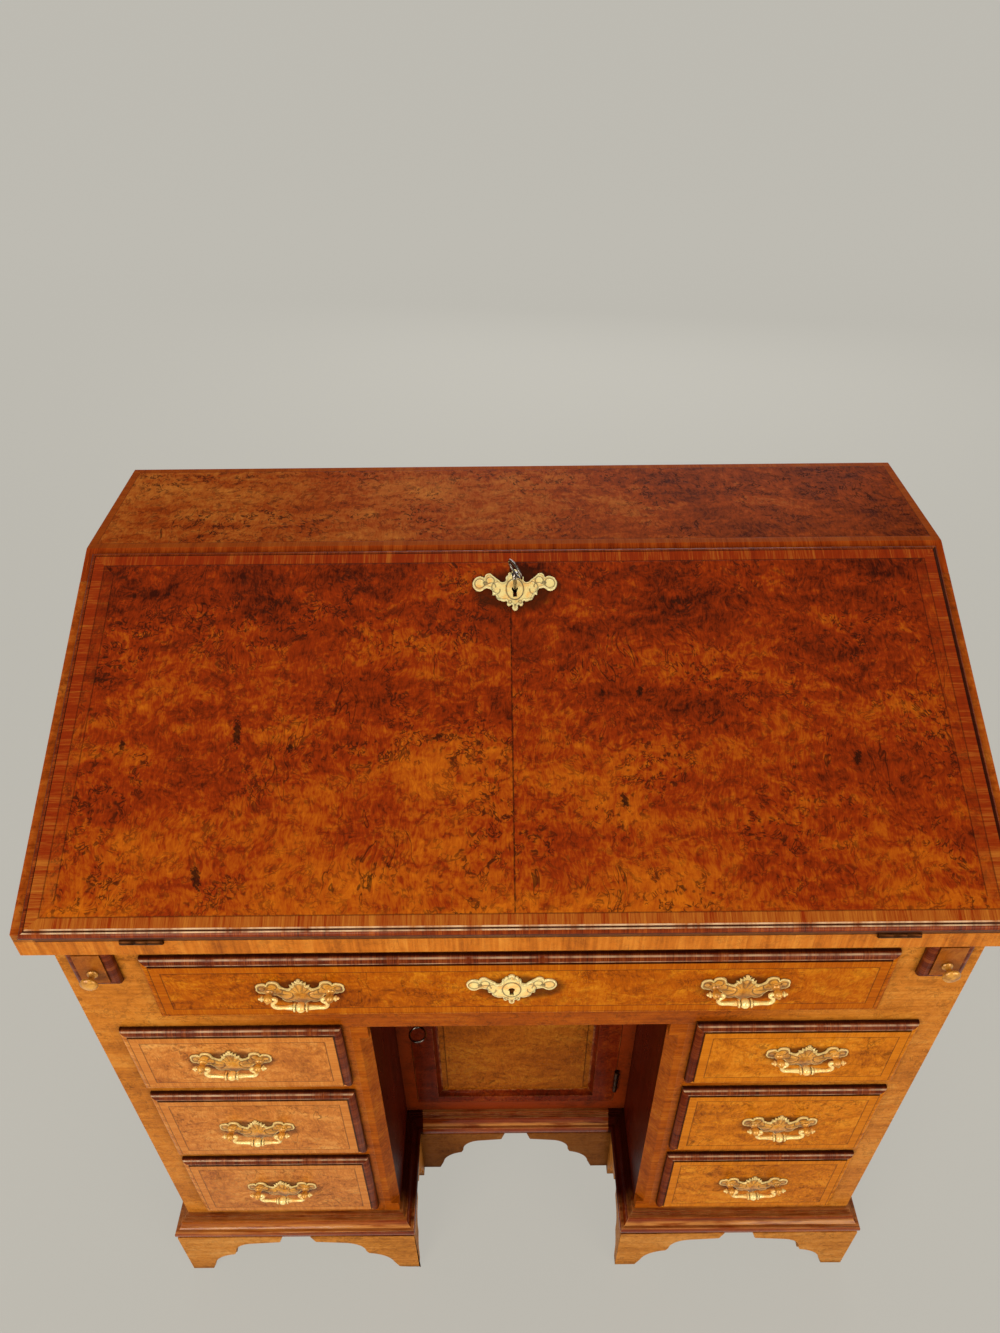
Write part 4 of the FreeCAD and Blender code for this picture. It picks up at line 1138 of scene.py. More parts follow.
@dataclass(frozen=True)
class CutPlate:
    """A pierced and chased brass plate, drawn as steps down its right half in half widths and heights."""

    width: float
    height: float
    thick: float
    steps: Steps
    shell_foot: float
    shell_rays: float
    shell_reach: Pair
    scrolls: tuple[Scroll, ...] = ()
    hole: Pair = (0.0, 0.0)
    oval: Pair = (0.0, 0.0)
    spacing: float = 0.62 * MM
    edge_round: float = 0.5 * MM
    rim: float = 2.0 * MM
    line: float = 0.62 * MM
    chase_depth: float = 0.5 * MM
    flute_depth: float = 0.5 * MM
    crown: float = 0.8 * MM

    def outline(self) -> np.ndarray:
        """The plate's edge.

        Returns:
            Points round the edge, counterclockwise, in metres.
        """
        half = [self.steps[0]]
        for step in self.steps[1:]:
            if isinstance(step[0], tuple):
                half += arc(half[-1], step[0], step[1], 6)
            else:
                half.append(step)
        sized = [(x * self.width / 2, y * self.height) for x, y in half]
        mirrored = [(-x, y) for x, y in reversed(sized[1:-1])]
        return np.array((sized + mirrored)[::-1])

    def keyhole(self) -> np.ndarray:
        """The keyhole's edge: a round eye over a straight slot.

        Returns:
            Points round the edge, in metres.
        """
        radius, length = self.hole
        dip = 0.9
        eye = [(radius * math.cos(t), radius * math.sin(t)) for t in np.linspace(-dip, math.pi + dip, 16)]
        slot = radius * math.cos(dip)
        return np.array(eye + [(-slot, -length), (slot, -length)])

    def relief(self, points: np.ndarray, edge: np.ndarray) -> tuple[np.ndarray, np.ndarray, np.ndarray]:
        """The plate's height, engraved grooves and painted rim highlight at each point.

        Args:
            points: Places on the plate.
            edge: Each place's distance from the edge.

        Returns:
            Heights above the wood in metres, how far each place lies in a groove, and how far it lies on the
            rim painted as a highlight.
        """
        x, y = points[:, 0], points[:, 1]
        rise = np.clip(edge / self.edge_round, 0, 1)
        height = self.thick * (0.45 + 0.55 * np.sqrt(1 - (1 - rise) ** 2))
        height += self.crown * np.clip(1 - (2 * x / self.width) ** 2, 0, 1) * rise
        groove = 0.45 * np.exp(-((edge - self.rim) / self.line) ** 2)
        lift = y - self.shell_foot
        reach = np.hypot(x, lift)
        low, high = self.shell_reach
        fan = np.clip((reach - low) / (2 * MM), 0, 1) * np.clip((high - reach) / (2 * MM), 0, 1) * (lift > 0)
        flute = np.cos(np.arctan2(x, lift) * self.shell_rays)
        height += self.flute_depth * fan * flute
        groove = np.maximum(groove, 0.65 * fan * np.clip(-flute, 0, 1) ** 2)
        for scroll in self.scrolls:
            dx, dy = np.abs(x) - scroll.middle[0], y - scroll.middle[1]
            turn = np.mod(np.arctan2(dy, dx) - scroll.start, TURN)
            on_arc = turn < scroll.end - scroll.start
            off = np.abs(np.hypot(dx, dy) - scroll.radius)
            groove = np.maximum(groove, 0.9 * np.exp(-(off / self.line) ** 2) * on_arc)
        if self.oval[0]:
            off = np.abs(np.hypot(x / self.oval[0], y / self.oval[1]) - 1) * self.oval[0]
            groove = np.maximum(groove, np.exp(-(off / self.line) ** 2))
        height -= self.chase_depth * groove * rise
        # The rim along the edge is painted bright as a highlight.
        rim_highlights = np.clip((self.rim - edge) / (0.5 * self.rim), 0, 1)
        return height, groove * rise, rim_highlights

    @cache
    def skin(self) -> tuple[list[Vector], list[Face], list[Pair]]:
        """The plate's front, back and edges.

        Returns:
            Its points, its faces, and for each point its darkening from engraving and from painted shade on
            the edge walls, and its painted rim highlight.
        """
        loop = self.outline()
        loops = [loop] + ([self.keyhole()] if self.hole[0] else [])
        columns = np.arange(-self.width / 2, self.width / 2, self.spacing)
        rows = np.arange(-self.height / 2, self.height / 2, self.spacing)
        grid = np.array([(x + (at % 2) * self.spacing / 2, y) for at, y in enumerate(rows) for x in columns])
        run = np.roll(loop, -1, axis=0) - np.roll(loop, 1, axis=0)
        inward = np.stack((-run[:, 1], run[:, 0]), 1) / np.linalg.norm(run, axis=1)[:, None]
        ledges = [loop + inward * depth for depth in (0.25 * self.edge_round, 0.8 * self.edge_round)]
        loose = np.concatenate(ledges + [grid])
        keep = within(loose, loop)
        gaps = (0.2 * self.edge_round, 0.7 * self.edge_round, self.edge_round * 1.4)
        sizes = [len(loop), len(loop), len(grid)]
        keep &= edge_distance(loose, loop) > np.repeat(gaps, sizes)
        if self.hole[0]:
            keep &= ~within(loose, loops[1]) & (edge_distance(loose, loops[1]) > 0.3 * self.spacing)
        points = np.concatenate(loops + [loose[keep]])
        edges, start = [], 0
        for ring in loops:
            count = len(ring)
            edges += [(start + at, start + (at + 1) % count) for at in range(count)]
            start += count
        flat = [Vector(point) for point in points]
        found, _, faces, *_ = geometry.delaunay_2d_cdt(flat, edges, [], 0, 1e-9)
        found = np.array([tuple(point) for point in found])
        middles = np.array([found[list(face)].mean(0) for face in faces])
        solid = within(middles, loop)
        if self.hole[0]:
            solid &= ~within(middles, loops[1])
        faces = [tuple(face) for face, inside in zip(faces, solid) if inside]
        heights, grooves, rim_highlights = self.relief(found, edge_distance(found, loop))
        top = [Vector((x, y, z)) for (x, y), z in zip(found, heights)]
        back = [Vector((x, y, 0)) for x, y in found]
        under = [tuple(at + len(top) for at in reversed(face)) for face in faces]
        sides = dict.fromkeys(pair for face in faces for pair in zip(face, face[1:] + face[:1]))
        walls = [(b, a, a + len(top), b + len(top)) for a, b in sides if (b, a) not in sides]
        # The back points are fully dark, so the edge walls shade down to the wood as painted shadow.
        chasing = list(zip(grooves.tolist(), rim_highlights.tolist())) + [(1.0, 0.0)] * len(back)
        return top + back, faces + under + walls, chasing

    def cut(self, shell: Shell, place: Matrix) -> None:
        """Add the plate to a shell.

        Args:
            shell: The piece that the plate is part of.
            place: Where the plate's middle goes.
        """
        points, faces, chasing = self.skin()
        shell.add(points, faces, place, chasing)


HANDLE_PLATE = CutPlate(
    84 * MM, 42 * MM, 1.6 * MM,
    ((0, 0.50), ((0.042, 0.475), (0.03, 0.41)), (0.095, 0.425), (0.085, 0.33), (0.165, 0.365), (0.15, 0.26),
     (0.235, 0.27), (0.215, 0.17), (0.27, 0.13), ((0.37, 0.15), (0.45, 0.28)), ((0.52, 0.395), (0.62, 0.41)),
     ((0.70, 0.385), (0.745, 0.285)), ((0.80, 0.325), (0.88, 0.32)), ((0.975, 0.27), (1.0, 0.14)),
     ((0.97, 0.0), (0.87, -0.035)), ((0.80, -0.05), (0.75, -0.02)), ((0.66, -0.09), (0.56, -0.10)),
     ((0.50, -0.17), (0.45, -0.27)), ((0.32, -0.37), (0.20, -0.34)), ((0.12, -0.38), (0.08, -0.43)),
     ((0.05, -0.49), (0, -0.50))),
    -5 * MM, 15.0, (6 * MM, 23 * MM),
    (Scroll((26 * MM, 9.5 * MM), 4.4 * MM, 0.2, 4.6), Scroll((36.5 * MM, 6 * MM), 3.4 * MM, 0.0, 6.2),
     Scroll((15 * MM, -3 * MM), 7.5 * MM, 2.4, 5.6), Scroll((22 * MM, 3 * MM), 5 * MM, 2.6, 5.4)))

KEY_PLATE_STEPS: Steps = (
    (0, 0.49), ((0.05, 0.47), (0.075, 0.40)), ((0.12, 0.41), (0.15, 0.34)), ((0.19, 0.33), (0.21, 0.25)),
    ((0.29, 0.17), (0.36, 0.22)), ((0.46, 0.295), (0.53, 0.355)), ((0.62, 0.395), (0.70, 0.35)),
    (0.72, 0.295), ((0.86, 0.32), (0.965, 0.25)), ((1.0, 0.14), (0.95, 0.02)), ((0.85, -0.035), (0.745, 0.0)),
    ((0.70, 0.035), (0.62, 0.03)), ((0.56, 0.01), (0.53, -0.04)), (0.525, -0.13), (0.465, -0.115),
    (0.44, -0.18),
    ((0.40, -0.235), (0.34, -0.255)), ((0.28, -0.28), (0.215, -0.27)), ((0.19, -0.29), (0.185, -0.315)),
    ((0.165, -0.385), (0.11, -0.38)), ((0.07, -0.365), (0.06, -0.40)), ((0.05, -0.48), (0, -0.50)))

KEY_PLATE = CutPlate(
    86 * MM, 48 * MM, 1.6 * MM, KEY_PLATE_STEPS,
    6 * MM, 13.0, (9.5 * MM, 17 * MM),
    (Scroll((35.6 * MM, 7 * MM), 5.2 * MM, 0.0, 6.28), Scroll((25 * MM, 10 * MM), 4.2 * MM, -0.6, 4.0),
     Scroll((17 * MM, 2 * MM), 6.5 * MM, -1.2, 1.6), Scroll((14 * MM, -2 * MM), 9 * MM, -1.5, 0.3),
     Scroll((20 * MM, -1 * MM), 5.0 * MM, 2.8, 5.6), Scroll((5.2 * MM, -14.6 * MM), 1.7 * MM, 0.0, 6.28),
     Scroll((29.9 * MM, 7.2 * MM), 1.9 * MM, 0.0, 6.28), Scroll((24 * MM, 3 * MM), 4.5 * MM, 0.6, 3.4)),
    hole=(3.2 * MM, 9 * MM), oval=(8.8 * MM, 12 * MM))

WALNUT_GOLD = Stain("642604", "9a4a08", "bc701c")
WALNUT_SUNNED = Stain("7c3e08", "bc7222", "dc9c46")
WALNUT_BAND = Stain("8a460c", "be7422", "d69644")
WALNUT_LIP = Stain("2e0a04", "64240a", "985020")
WALNUT_MAROON = Stain("240501", "461004", "621c06")
DESK_WALNUT = Stain("5a280c", "9b5a22", "c28442")

BRASS = MetalFinish("lacquered_brass", "ffea9e", "e0a03c", "a0661e", "1c0c02", 0.28, metal=0.2, lacquer=0.2)
# A paler copy of the brass for the bails and escutcheons: a painted highlight.
HIGHLIT_BRASS = MetalFinish("rubbed_brass", "fff4b4", "ffe898", "ffc468", "2c1404", 0.26, metal=0.2, lacquer=0.3)
# Dull brass, darkened to a dark brown that also stands as painted shade on the hinges.
SHADED_DULL_BRASS = MetalFinish("hinge_brass", "6a4422", "4c2a12", "2c160a", "1c0f04", 0.42, pits=0.5)
STEEL = MetalFinish("key_steel", "e8e2d8", "7a7066", "3a3028", "120d09", 0.2, pits=0.4, lacquer=0.8)
OAK = WoodFinish("oak_lining", Stain("6d4d2a", "a07a48", "bd9a66"), Grain.DEEP, burr=0.08, rough=0.6,
                 coat=0.0, grime=0.6, wear=OAK_WEAR)


def stand(name: str, data: bpy.types.ID) -> bpy.types.Object:
    """Stand a new object in the scene.

    Args:
        name: The object's name.
        data: Its mesh, lamp or camera.

    Returns:
        The object.
    """
    made = bpy.data.objects.new(name, data)
    bpy.context.scene.collection.objects.link(made)
    return made


@dataclass(frozen=True)
class Lamp:
    """A soft panel lamp: its place, its width and height, its watts, its colour and where it looks."""

    name: str
    at: Point
    size: Pair
    power: float
    tint: str
    aim: Point = (0.0, 0.0, 0.6)

    def hang(self) -> None:
        """Hang the lamp."""
        lamp = bpy.data.lights.new(self.name, "AREA")
        lamp.shape = "RECTANGLE"
        lamp.size, lamp.size_y = self.size
        lamp.energy = self.power
        lamp.color = shade(self.tint)[:3]
        hung = stand(self.name, lamp)
        hung.location = self.at
        hung.rotation_mode = "QUATERNION"
        hung.rotation_quaternion = (Vector(self.aim) - Vector(self.at)).to_track_quat("-Z", "Y")


@dataclass
class Studio:
    """The pale floor, the soft lights and the camera that sees the desk as the photograph does."""

    frame_long: float = 1333.0
    focal: float = 953.25
    sensor: float = 36.0
    sight: float = 200.0
    eye: Point = (-0.0153, -0.5190, 1.4911)
    pitch: float = math.radians(39.284)
    yaw: float = math.radians(-0.041)
    roll: float = math.radians(0.571)
    floor_reach: float = 60.0
    paper: str = "bebbb2"
    floor_near: str = "c0bdb4"
    floor_far: str = "c8c5bc"
    floor_speckle: str = "b8b5ac"
    floor_glow: float = 0.85
    room: Stops = ((0.0, "d6d3cb"), (0.22, "7d7b78"), (0.66, "7d7b78"), (0.9, "cac8c2"))
    room_strength: float = 0.75
    lamps: tuple[Lamp, ...] = (
        Lamp("key_lamp", (-1.7, -2.9, 1.7), (1.8, 1.8), 78.0, "fff4e6"),
        Lamp("fill_lamp", (2.1, -2.6, 1.5), (1.8, 2.0), 48.0, "fff2e2"),
        Lamp("high_lamp", (0.0, 1.7, 3.1), (2.4, 1.0), 22.0, "ffffff"),
        Lamp("brow_lamp", (-0.2, -1.5, 2.7), (2.0, 0.15), 7.0, "fff8ee"),
        Lamp("back_lamp", (0.5, 3.3, 1.3), (2.4, 1.2), 30.0, "ffffff"))

    def build(self) -> None:
        """Set up the camera, the floor, the world and the lamps."""
        self.stand_camera()
        self.lay_floor()
        self.light_world()
        bpy.context.scene.view_settings.view_transform = "Standard"
        for lamp in self.lamps:
            lamp.hang()

    def stand_camera(self) -> None:
        """Place the camera where the photograph was taken from."""
        case_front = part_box("outer_sides")[0].y
        ahead = Vector((math.sin(self.yaw) * math.cos(self.pitch), math.cos(self.yaw) * math.cos(self.pitch),
                        -math.sin(self.pitch)))
        level = Vector((math.cos(self.yaw), -math.sin(self.yaw), 0))
        down = ahead.cross(level)
        across = level * math.cos(self.roll) + down * math.sin(self.roll)
        lower = down * math.cos(self.roll) - level * math.sin(self.roll)
        lens = bpy.data.cameras.new("photo_camera")
        lens.sensor_width = self.sensor
        lens.lens = self.focal / self.frame_long * self.sensor
        lens.clip_end = self.sight
        camera = stand("photo_camera", lens)
        turn = Matrix((across, -lower, -ahead)).transposed()
        eye = Vector(self.eye) + Vector((0, case_front, 0))
        camera.matrix_world = Matrix.Translation(eye) @ turn.to_4x4()
        bpy.context.scene.camera = camera

    def lay_floor(self) -> None:
        """Lay a wide plain floor that shows as pale paper and keeps the desk's shadow."""
        reach = self.floor_reach
        corners = [(-reach, -reach, 0), (reach, -reach, 0), (reach, reach, 0), (-reach, reach, 0)]
        mesh = bpy.data.meshes.new("studio_floor")
        mesh.from_pydata(corners, [], [(0, 1, 2, 3)])
        floor = stand("studio_floor", mesh)
        material, shader, place = start_material("pale_floor")
        graph = place.graph
        colour = place.parts()[1].span(0.6, 5.0).pick(shade(self.floor_near), shade(self.floor_far))
        colour = colour.toned(place.noise(60.0, 3.0) * 0.1, self.floor_speckle)
        graph.feed(shader, {"Base Color": colour, "Roughness": 0.9, "Specular IOR Level": 0.1})
        glow = graph.node("Emission", {"Color": colour, "Strength": 1.0})
        path = graph.node("LightPath", {}).outputs
        seen = Value(graph, path["Is Camera Ray"]).most(path["Is Glossy Ray"], path["Is Transmission Ray"])
        both = graph.node("MixShader", {0: seen * self.floor_glow, 1: shader.outputs[0], 2: glow.outputs[0]})
        output = next(node for node in graph.tree.nodes if node.type == "OUTPUT_MATERIAL")
        graph.feed(output, {"Surface": both.outputs[0]})
        mesh.materials.append(material)

    def light_world(self) -> None:
        """Light the room from a bright horizon and a dimmer ceiling."""
        world = bpy.data.worlds.new("studio_room")
        bpy.context.scene.world = world
        world.use_nodes = True
        world.node_tree.nodes.clear()
        graph = Graph(world.node_tree)
        colour = graph.value("TexCoord", {}, "Generated").parts()[2].ramp(self.room)
        lit = graph.value("Background", {"Color": colour, "Strength": self.room_strength})
        paper = graph.value("Background", {"Color": shade(self.paper), "Strength": 1.0})
        seen = graph.value("LightPath", {}, "Is Camera Ray")
        both = graph.value("MixShader", {0: seen, 1: lit, 2: paper})
        graph.node("OutputWorld", {"Surface": both})


def dress(node: str, material: Material, ease: float = 0.0) -> None:
    """Give a CAD node its finish, and ease its arrises.

    Args:
        node: The node's name.
        material: Its finish.
        ease: The width of the eased arris in metres, or 0 for none.
    """
    piece = frame["nodes"][node]
    piece.material_slots[0].material = material
    if ease:
        weld = piece.modifiers.new("weld", "WELD")
        weld.merge_threshold = 0.01 * MM
        bevel = piece.modifiers.new("eased_arris", "BEVEL")
        bevel.width = ease
        bevel.segments = 2
        bevel.limit_method = "ANGLE"
        bevel.angle_limit = math.radians(30)
        bevel.harden_normals = True
        bevel.loop_slide = False
    log.info("dressed %s", node)


def mount(name: str, shell: Shell, material: Material, body: str, node: str) -> None:
    """Set a new piece in the frame in place of a CAD node.

    Args:
        name: The piece's name.
        shell: Its skin, in the frame.
        material: Its finish.
        body: The body that it rides on.
        node: The CAD node that it stands for.
    """
    piece = stand(name, shell.mesh(name))
    piece.data.materials.append(material)
    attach(piece, body)
    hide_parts(node)
    log.info("mounted %s on %s", name, body)


def joint_place(name: str) -> tuple[Vector, Vector]:
    """A hinge's place and axis.

    Args:
        name: The joint's name.

    Returns:
        Its point and its direction in the frame.
    """
    joint = next(joint for joint in frame["joints"] if joint["name"] == name)
    return Vector(joint["pos_m"]), Vector(joint["axis"])


def front_of(node: str) -> tuple[Pair, Pair]:
    """The middle and the half sizes of a node's front, across and up.

    Args:
        node: The node's name.

    Returns:
        Its middle and its half sizes in metres.
    """
    low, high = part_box(node)
    return ((low.x + high.x) / 2, (low.z + high.z) / 2), ((high.x - low.x) / 2, (high.z - low.z) / 2)


def bent_bar(middle: Vector, radius: float, ends: Pair, count: int, bar: float) -> list[tuple[Vector, float]]:
    """Points along a bend in a bar, without the first.

    Args:
        middle: The bend's middle.
        radius: The bend's radius.
        ends: The turns where it starts and ends.
        count: Points along the bend.
        bar: The bar's radius.

    Returns:
        Each point with the bar's radius.
    """
    return [(middle + spoke(turn) * radius, bar) for turn in np.linspace(*ends, count)[1:]]


@dataclass
class DropHandle:
    """A swan-neck drop handle: a chased plate with two posts, and the bail that swings between them."""

    name: str
    drawer: str
    plate_node: str
    spread: float = 58 * MM
    post_rise: float = 3 * MM
    post_reach: float = 10 * MM
    ball: float = 4.4 * MM
    shoulder: float = 2.4 * MM
    neck: float = 3.4 * MM
    neck_turn: float = math.radians(60)
    belly: float = 5.2 * MM
    bar: float = 1.9 * MM

    def build(self, brass: Material, pale: Material) -> None:
        """Make the plate with its posts, and the paler bail, and mount both.

        Args:
            brass: The plate's finish.
            pale: The bail's finish.
        """
        pivot, _ = joint_place(f"{self.name}_bail_swing")
        foot = pivot - FRONTWARD * self.post_reach
        plate = Shell()
        HANDLE_PLATE.cut(plate, place_on(foot - UP * self.post_rise, RIGHT, UP))
        for side in (-1, 1):
            plate.turned(self.post(), place_on(foot + RIGHT * (side * self.spread / 2), RIGHT, UP))
        mount(f"{self.name}_plate", plate, brass, self.drawer, self.plate_node)
        bail = Shell()
        bail.swept(*self.bend(), place_on(pivot, RIGHT, UP))
        node = f"{self.name}_bail"
        mount(f"{node}_cast", bail, pale, node, node)

    def post(self) -> list[Pair]:
        """A post's turned profile: washer, neck, ball and button.

        Returns:
            Radius and height pairs from the foot up.
        """
        foot = in_mm([(5.4, 0.8), (5.5, 2.2), (5.1, 2.9), (4.0, 3.2), (3.7, 3.6), (4.3, 4.1), (3.9, 4.7),
                      (2.9, 5.2)])
        ball = [(self.ball * math.cos(t), self.post_reach + self.ball * math.sin(t))
                for t in np.linspace(-0.95, 1.25, 12)]
        top = self.post_reach + self.ball
        button = [(radius, top + rise) for radius, rise in in_mm([(1.5, 0.1), (1.3, 0.7), (0.5, 1.1)])]
        return foot + ball + button

    def bend(self) -> tuple[list[Vector], list[float]]:
        """The bail's whole path and its radius along it.

        Returns:
            Points from its left tip to its right tip about its pivot, and the radius at each.
        """
        start = self.spread / 2 - self.ball - 0.3 * MM
        tip = start + 2 * self.ball + 0.6 * MM
        finial = in_mm([(4.9, 0.3), (4.4, 1.0), (3.5, 1.5), (2.6, 1.3), (2.2, 2.3), (1.2, 2.9), (0.4, 2.4),
                        (0.1, 1.6)])
        half = [(RIGHT * (tip + reach), radius) for reach, radius in finial]
        half.append((RIGHT * start, 1.6 * MM))
        shoulder = Vector((start, -self.shoulder, 0))
        half += bent_bar(shoulder, self.shoulder, (math.pi / 2, math.pi), 7, self.bar)
        neck = shoulder + RIGHT * (self.neck - self.shoulder)
        half += bent_bar(neck, self.neck, (math.pi, math.pi + self.neck_turn), 7, self.bar * 0.95)
        belly = half[-1][0] - spoke(self.neck_turn) * self.belly
        half += bent_bar(belly, self.belly, (self.neck_turn, -math.pi / 2), 12, self.bar * 1.05)
        low = half[-1][0].y
        swell = in_mm([(16, 1.9), (11, 2.3), (8.2, 2.7), (7.8, 2.2), (7.2, 2.3), (6.8, 4.0), (6.0, 4.5),
                       (5.2, 4.0), (4.8, 2.2), (4.2, 2.1), (3.8, 3.4), (2.4, 4.5), (1.2, 4.9)])
        half += [(Vector((x, low, 0)), radius) for x, radius in swell]
        crown = [(Vector((0, low, 0)), 5.0 * MM)]
        other = [(Vector((-point.x, point.y, 0)), radius) for point, radius in half]
        whole = other + crown + half[::-1]
        return [point for point, _ in whole], [radius for _, radius in whole]


@dataclass
class KeyPlate:
    """A pierced escutcheon with its pins."""

    name: str
    body: str
    node: str
    middle: Vector
    upward: Vector
    pins: tuple[Pair, ...] = ((0.0, -18.6), (29.9, 7.2), (-29.9, 7.2))
    pin_grime: float = 0.75

    def build(self, brass: Material) -> None:
        """Cut the plate, set its pins and mount it.

        Args:
            brass: The plate's finish.
        """
        shell = Shell()
        KEY_PLATE.cut(shell, place_on(self.middle, RIGHT, self.upward))
        out = RIGHT.cross(self.upward)
        pin = in_mm([(1.3, 1.0), (1.35, 2.2), (1.1, 2.6), (0.5, 2.8)])
        for x, y in in_mm(self.pins):
            spot = self.middle + RIGHT * x + self.upward * y + out * (0.1 * MM)
            shell.turned(pin, place_on(spot, RIGHT, self.upward), 14, self.pin_grime)
        mount(self.name, shell, brass, self.body, self.node)


@dataclass
class LockKey:
    """A key left in its lock: a turned shaft and an oval bow."""

    node: str
    joint: str
    face: float
    reach: float
    bow_across: Vector
    bow: Pair = (11.2 * MM, 7.4 * MM)
    shaft: float = 2.2 * MM

    def build(self, steel: Material) -> None:
        """Turn the shaft, bend the bow and mount the key.

        Args:
            steel: The key's finish.
        """
        origin, out = joint_place(self.joint)
        side = out.cross(self.bow_across)
        end = self.face + self.reach
        collars = in_mm([(3.0, -6.4), (3.2, -5.6), (2.4, -5.0), (2.2, -3.6), (3.5, -2.8), (3.6, -1.4),
                         (2.4, -0.4), (1.4, 0.6)])
        profile = [(self.shaft * 0.9, 2.6 * MM), (self.shaft, 3.4 * MM), (self.shaft, end - 7 * MM)]
        profile += [(radius, end + height) for radius, height in collars]
        shell = Shell()
        shell.turned(profile, place_on(origin, self.bow_across, side), 20)
        bow_middle = origin + out * (end + self.bow[1] + 1.0 * MM)
        shell.hoop(*self.bow, 1.3 * MM, 1.2 * MM, place_on(bow_middle, side, out))
        mount(f"{self.node}_turned", shell, steel, self.node, self.node)


@dataclass
class Desk:
    """The upper part: top board, sloping sides, writing bed and pigeonholes."""

    top_depth: float = 175.2 * MM
    top_band: float = 9 * MM

    def dress(self) -> None:
        """Finish the desk's boards."""
        _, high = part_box("top_board")
        middle = (0.0, high.y - self.top_depth / 2)
        # The top is lighter towards its left end: painted sheen.
        top = PanelFinish("burr_top", Plane.TOP, middle, (high.x, self.top_depth / 2),
                          Stain("4a1604", "963c08", "c07028"), Stain("5a1e06", "94400c", "b06420"),
                          Stain("641a06", "983a0c", "b85818"), 0.0, self.top_band, seed=4.2,
                          fade=(-0.38, 0.0), lines=0.3, contrast=0.9, rough=0.4, gloss=0.02, coat=0.01,
                          lip_coat=0.02)
        dress("top_board", top.material(), 0.8 * MM)
        level = max(point.co.dot(OUT) for point in frame["nodes"]["upper_sides"].data.vertices)
        strip = Facing((OUT.y, OUT.z), level, Stain("5d2006", "a4480e", "cc7a28"), Grain.ACROSS)
        sides = WoodFinish("desk_sides", DESK_WALNUT, Grain.UPRIGHT, 0.6, facing=strip, gloss=0.05)
        dress("upper_sides", sides.material(), 0.5 * MM)
        bed_front = Facing((-1.0, 0.0), -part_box("writing_bed")[0].y, Stain("6e3006", "bc6a18", "dc9338"),
                           Grain.UPRIGHT)
        bed = WoodFinish("writing_bed_walnut", DESK_WALNUT, Grain.ACROSS, 0.3, facing=bed_front)
        dress("writing_bed", bed.material(), 0.8 * MM)
        lining = WoodFinish("pigeonhole_walnut", Stain("5a2c10", "96592a", "b98248"), Grain.ACROSS, 0.1, 0.45)
        dress("pigeonholes", lining.material(), 0.4 * MM)


@dataclass
class FallFront:
    """The sloping fall: burr panel, moulded lip, escutcheon and key."""

    thick: float = 19.5 * MM
    half_width: float = 440 * MM
    low: float = 0.3 * MM
    high: float = 391.4 * MM
    lip_width: float = 6.5 * MM
    band_width: float = 11 * MM
    strip_width: float = 11 * MM
    seam: float = -4.5 * MM
    plate_along: float = 340.9 * MM
    key_reach: float = 33 * MM
    key_turn: float = math.radians(32)
    halo: Pair = (44 * MM, 25 * MM)
    lip: Stain = Stain("3a0c04", "762a0a", "a85418")
    field: Stain = Stain("360a02", "8c2c05", "c0640e")
    band: Stain = Stain("561404", "882a06", "c87e2a")
    knots: tuple[Knot, ...] = (
        Knot(-0.2664, -0.0071, 4 * MM, 17 * MM, 0.08), Knot(-0.2884, -0.1445, 4.5 * MM, 14 * MM, 0.35),
        Knot(0.0981, -0.0764, 4 * MM, 8 * MM, 0.3), Knot(-0.0752, -0.0130, 5 * MM, 4 * MM, 0.4),
        Knot(-0.374, -0.0181, 3.5 * MM, 6 * MM, 0.1), Knot(-0.2147, -0.0227, 3.5 * MM, 5 * MM, 0.2),
        Knot(0.1195, 0.0334, 3.5 * MM, 6 * MM, -0.3), Knot(0.3189, -0.0369, 4 * MM, 8 * MM, -0.2))
    # Painted shadows along the lip's sides, wider on the right.
    hollows: tuple[Hollow, ...] = (
        Hollow(Edge.RIGHT, 4.6 * MM, 2.6 * MM), Hollow(Edge.LEFT, 0.2 * MM, 1.7 * MM))

    def build(self, brass: Material, steel: Material) -> None:
        """Finish the fall and mount its fittings.

        Args:
            brass: The escutcheon's finish.
            steel: The key's finish.
        """
        hinge, _ = joint_place("fall_hinge")
        rise = (self.low + self.high) / 2
        # The fall lightens towards its bottom, and its band more so near the bottom edge: painted light.
        veneer = PanelFinish("burr_fall", Plane.SLOPE, (0.0, hinge.dot(ALONG) + rise),
                             (self.half_width, (self.high - self.low) / 2), self.field, self.band, self.lip,
                             self.lip_width, self.band_width, self.strip_width, seam=self.seam, seed=1.3,
                             fade=(-0.05, -0.8), glow=0.14, knots=self.knots, rough=0.33, rubbing=0.8,
                             shine=(Edge.LOW,), quirks=(5.6 * MM, -0.3 * MM), arrises=(7.0 * MM, 4.2 * MM),
                             halos=(Halo(0.0, self.plate_along - rise, *self.halo),), hollows=self.hollows)
        wood = veneer.material()
        dress("fall_panel", wood)
        dress("fall_lip", wood, 0.4 * MM)
        plate_middle = hinge + ALONG * self.plate_along + OUT * self.thick
        KeyPlate("fall_key_plate", "fall", "fall_escutcheon", plate_middle, ALONG).build(brass)
        across = RIGHT * math.cos(self.key_turn) + ALONG * math.sin(self.key_turn)
        LockKey("fall_key", "fall_key_turn", self.thick, self.key_reach, across).build(steel)


class Bank(Enum):
    """Where a drawer stands: the sides of it that show as plain edges."""

    LONG = (Edge.LEFT, Edge.RIGHT)
    LEFT = (Edge.LEFT,)
    RIGHT = (Edge.RIGHT,)


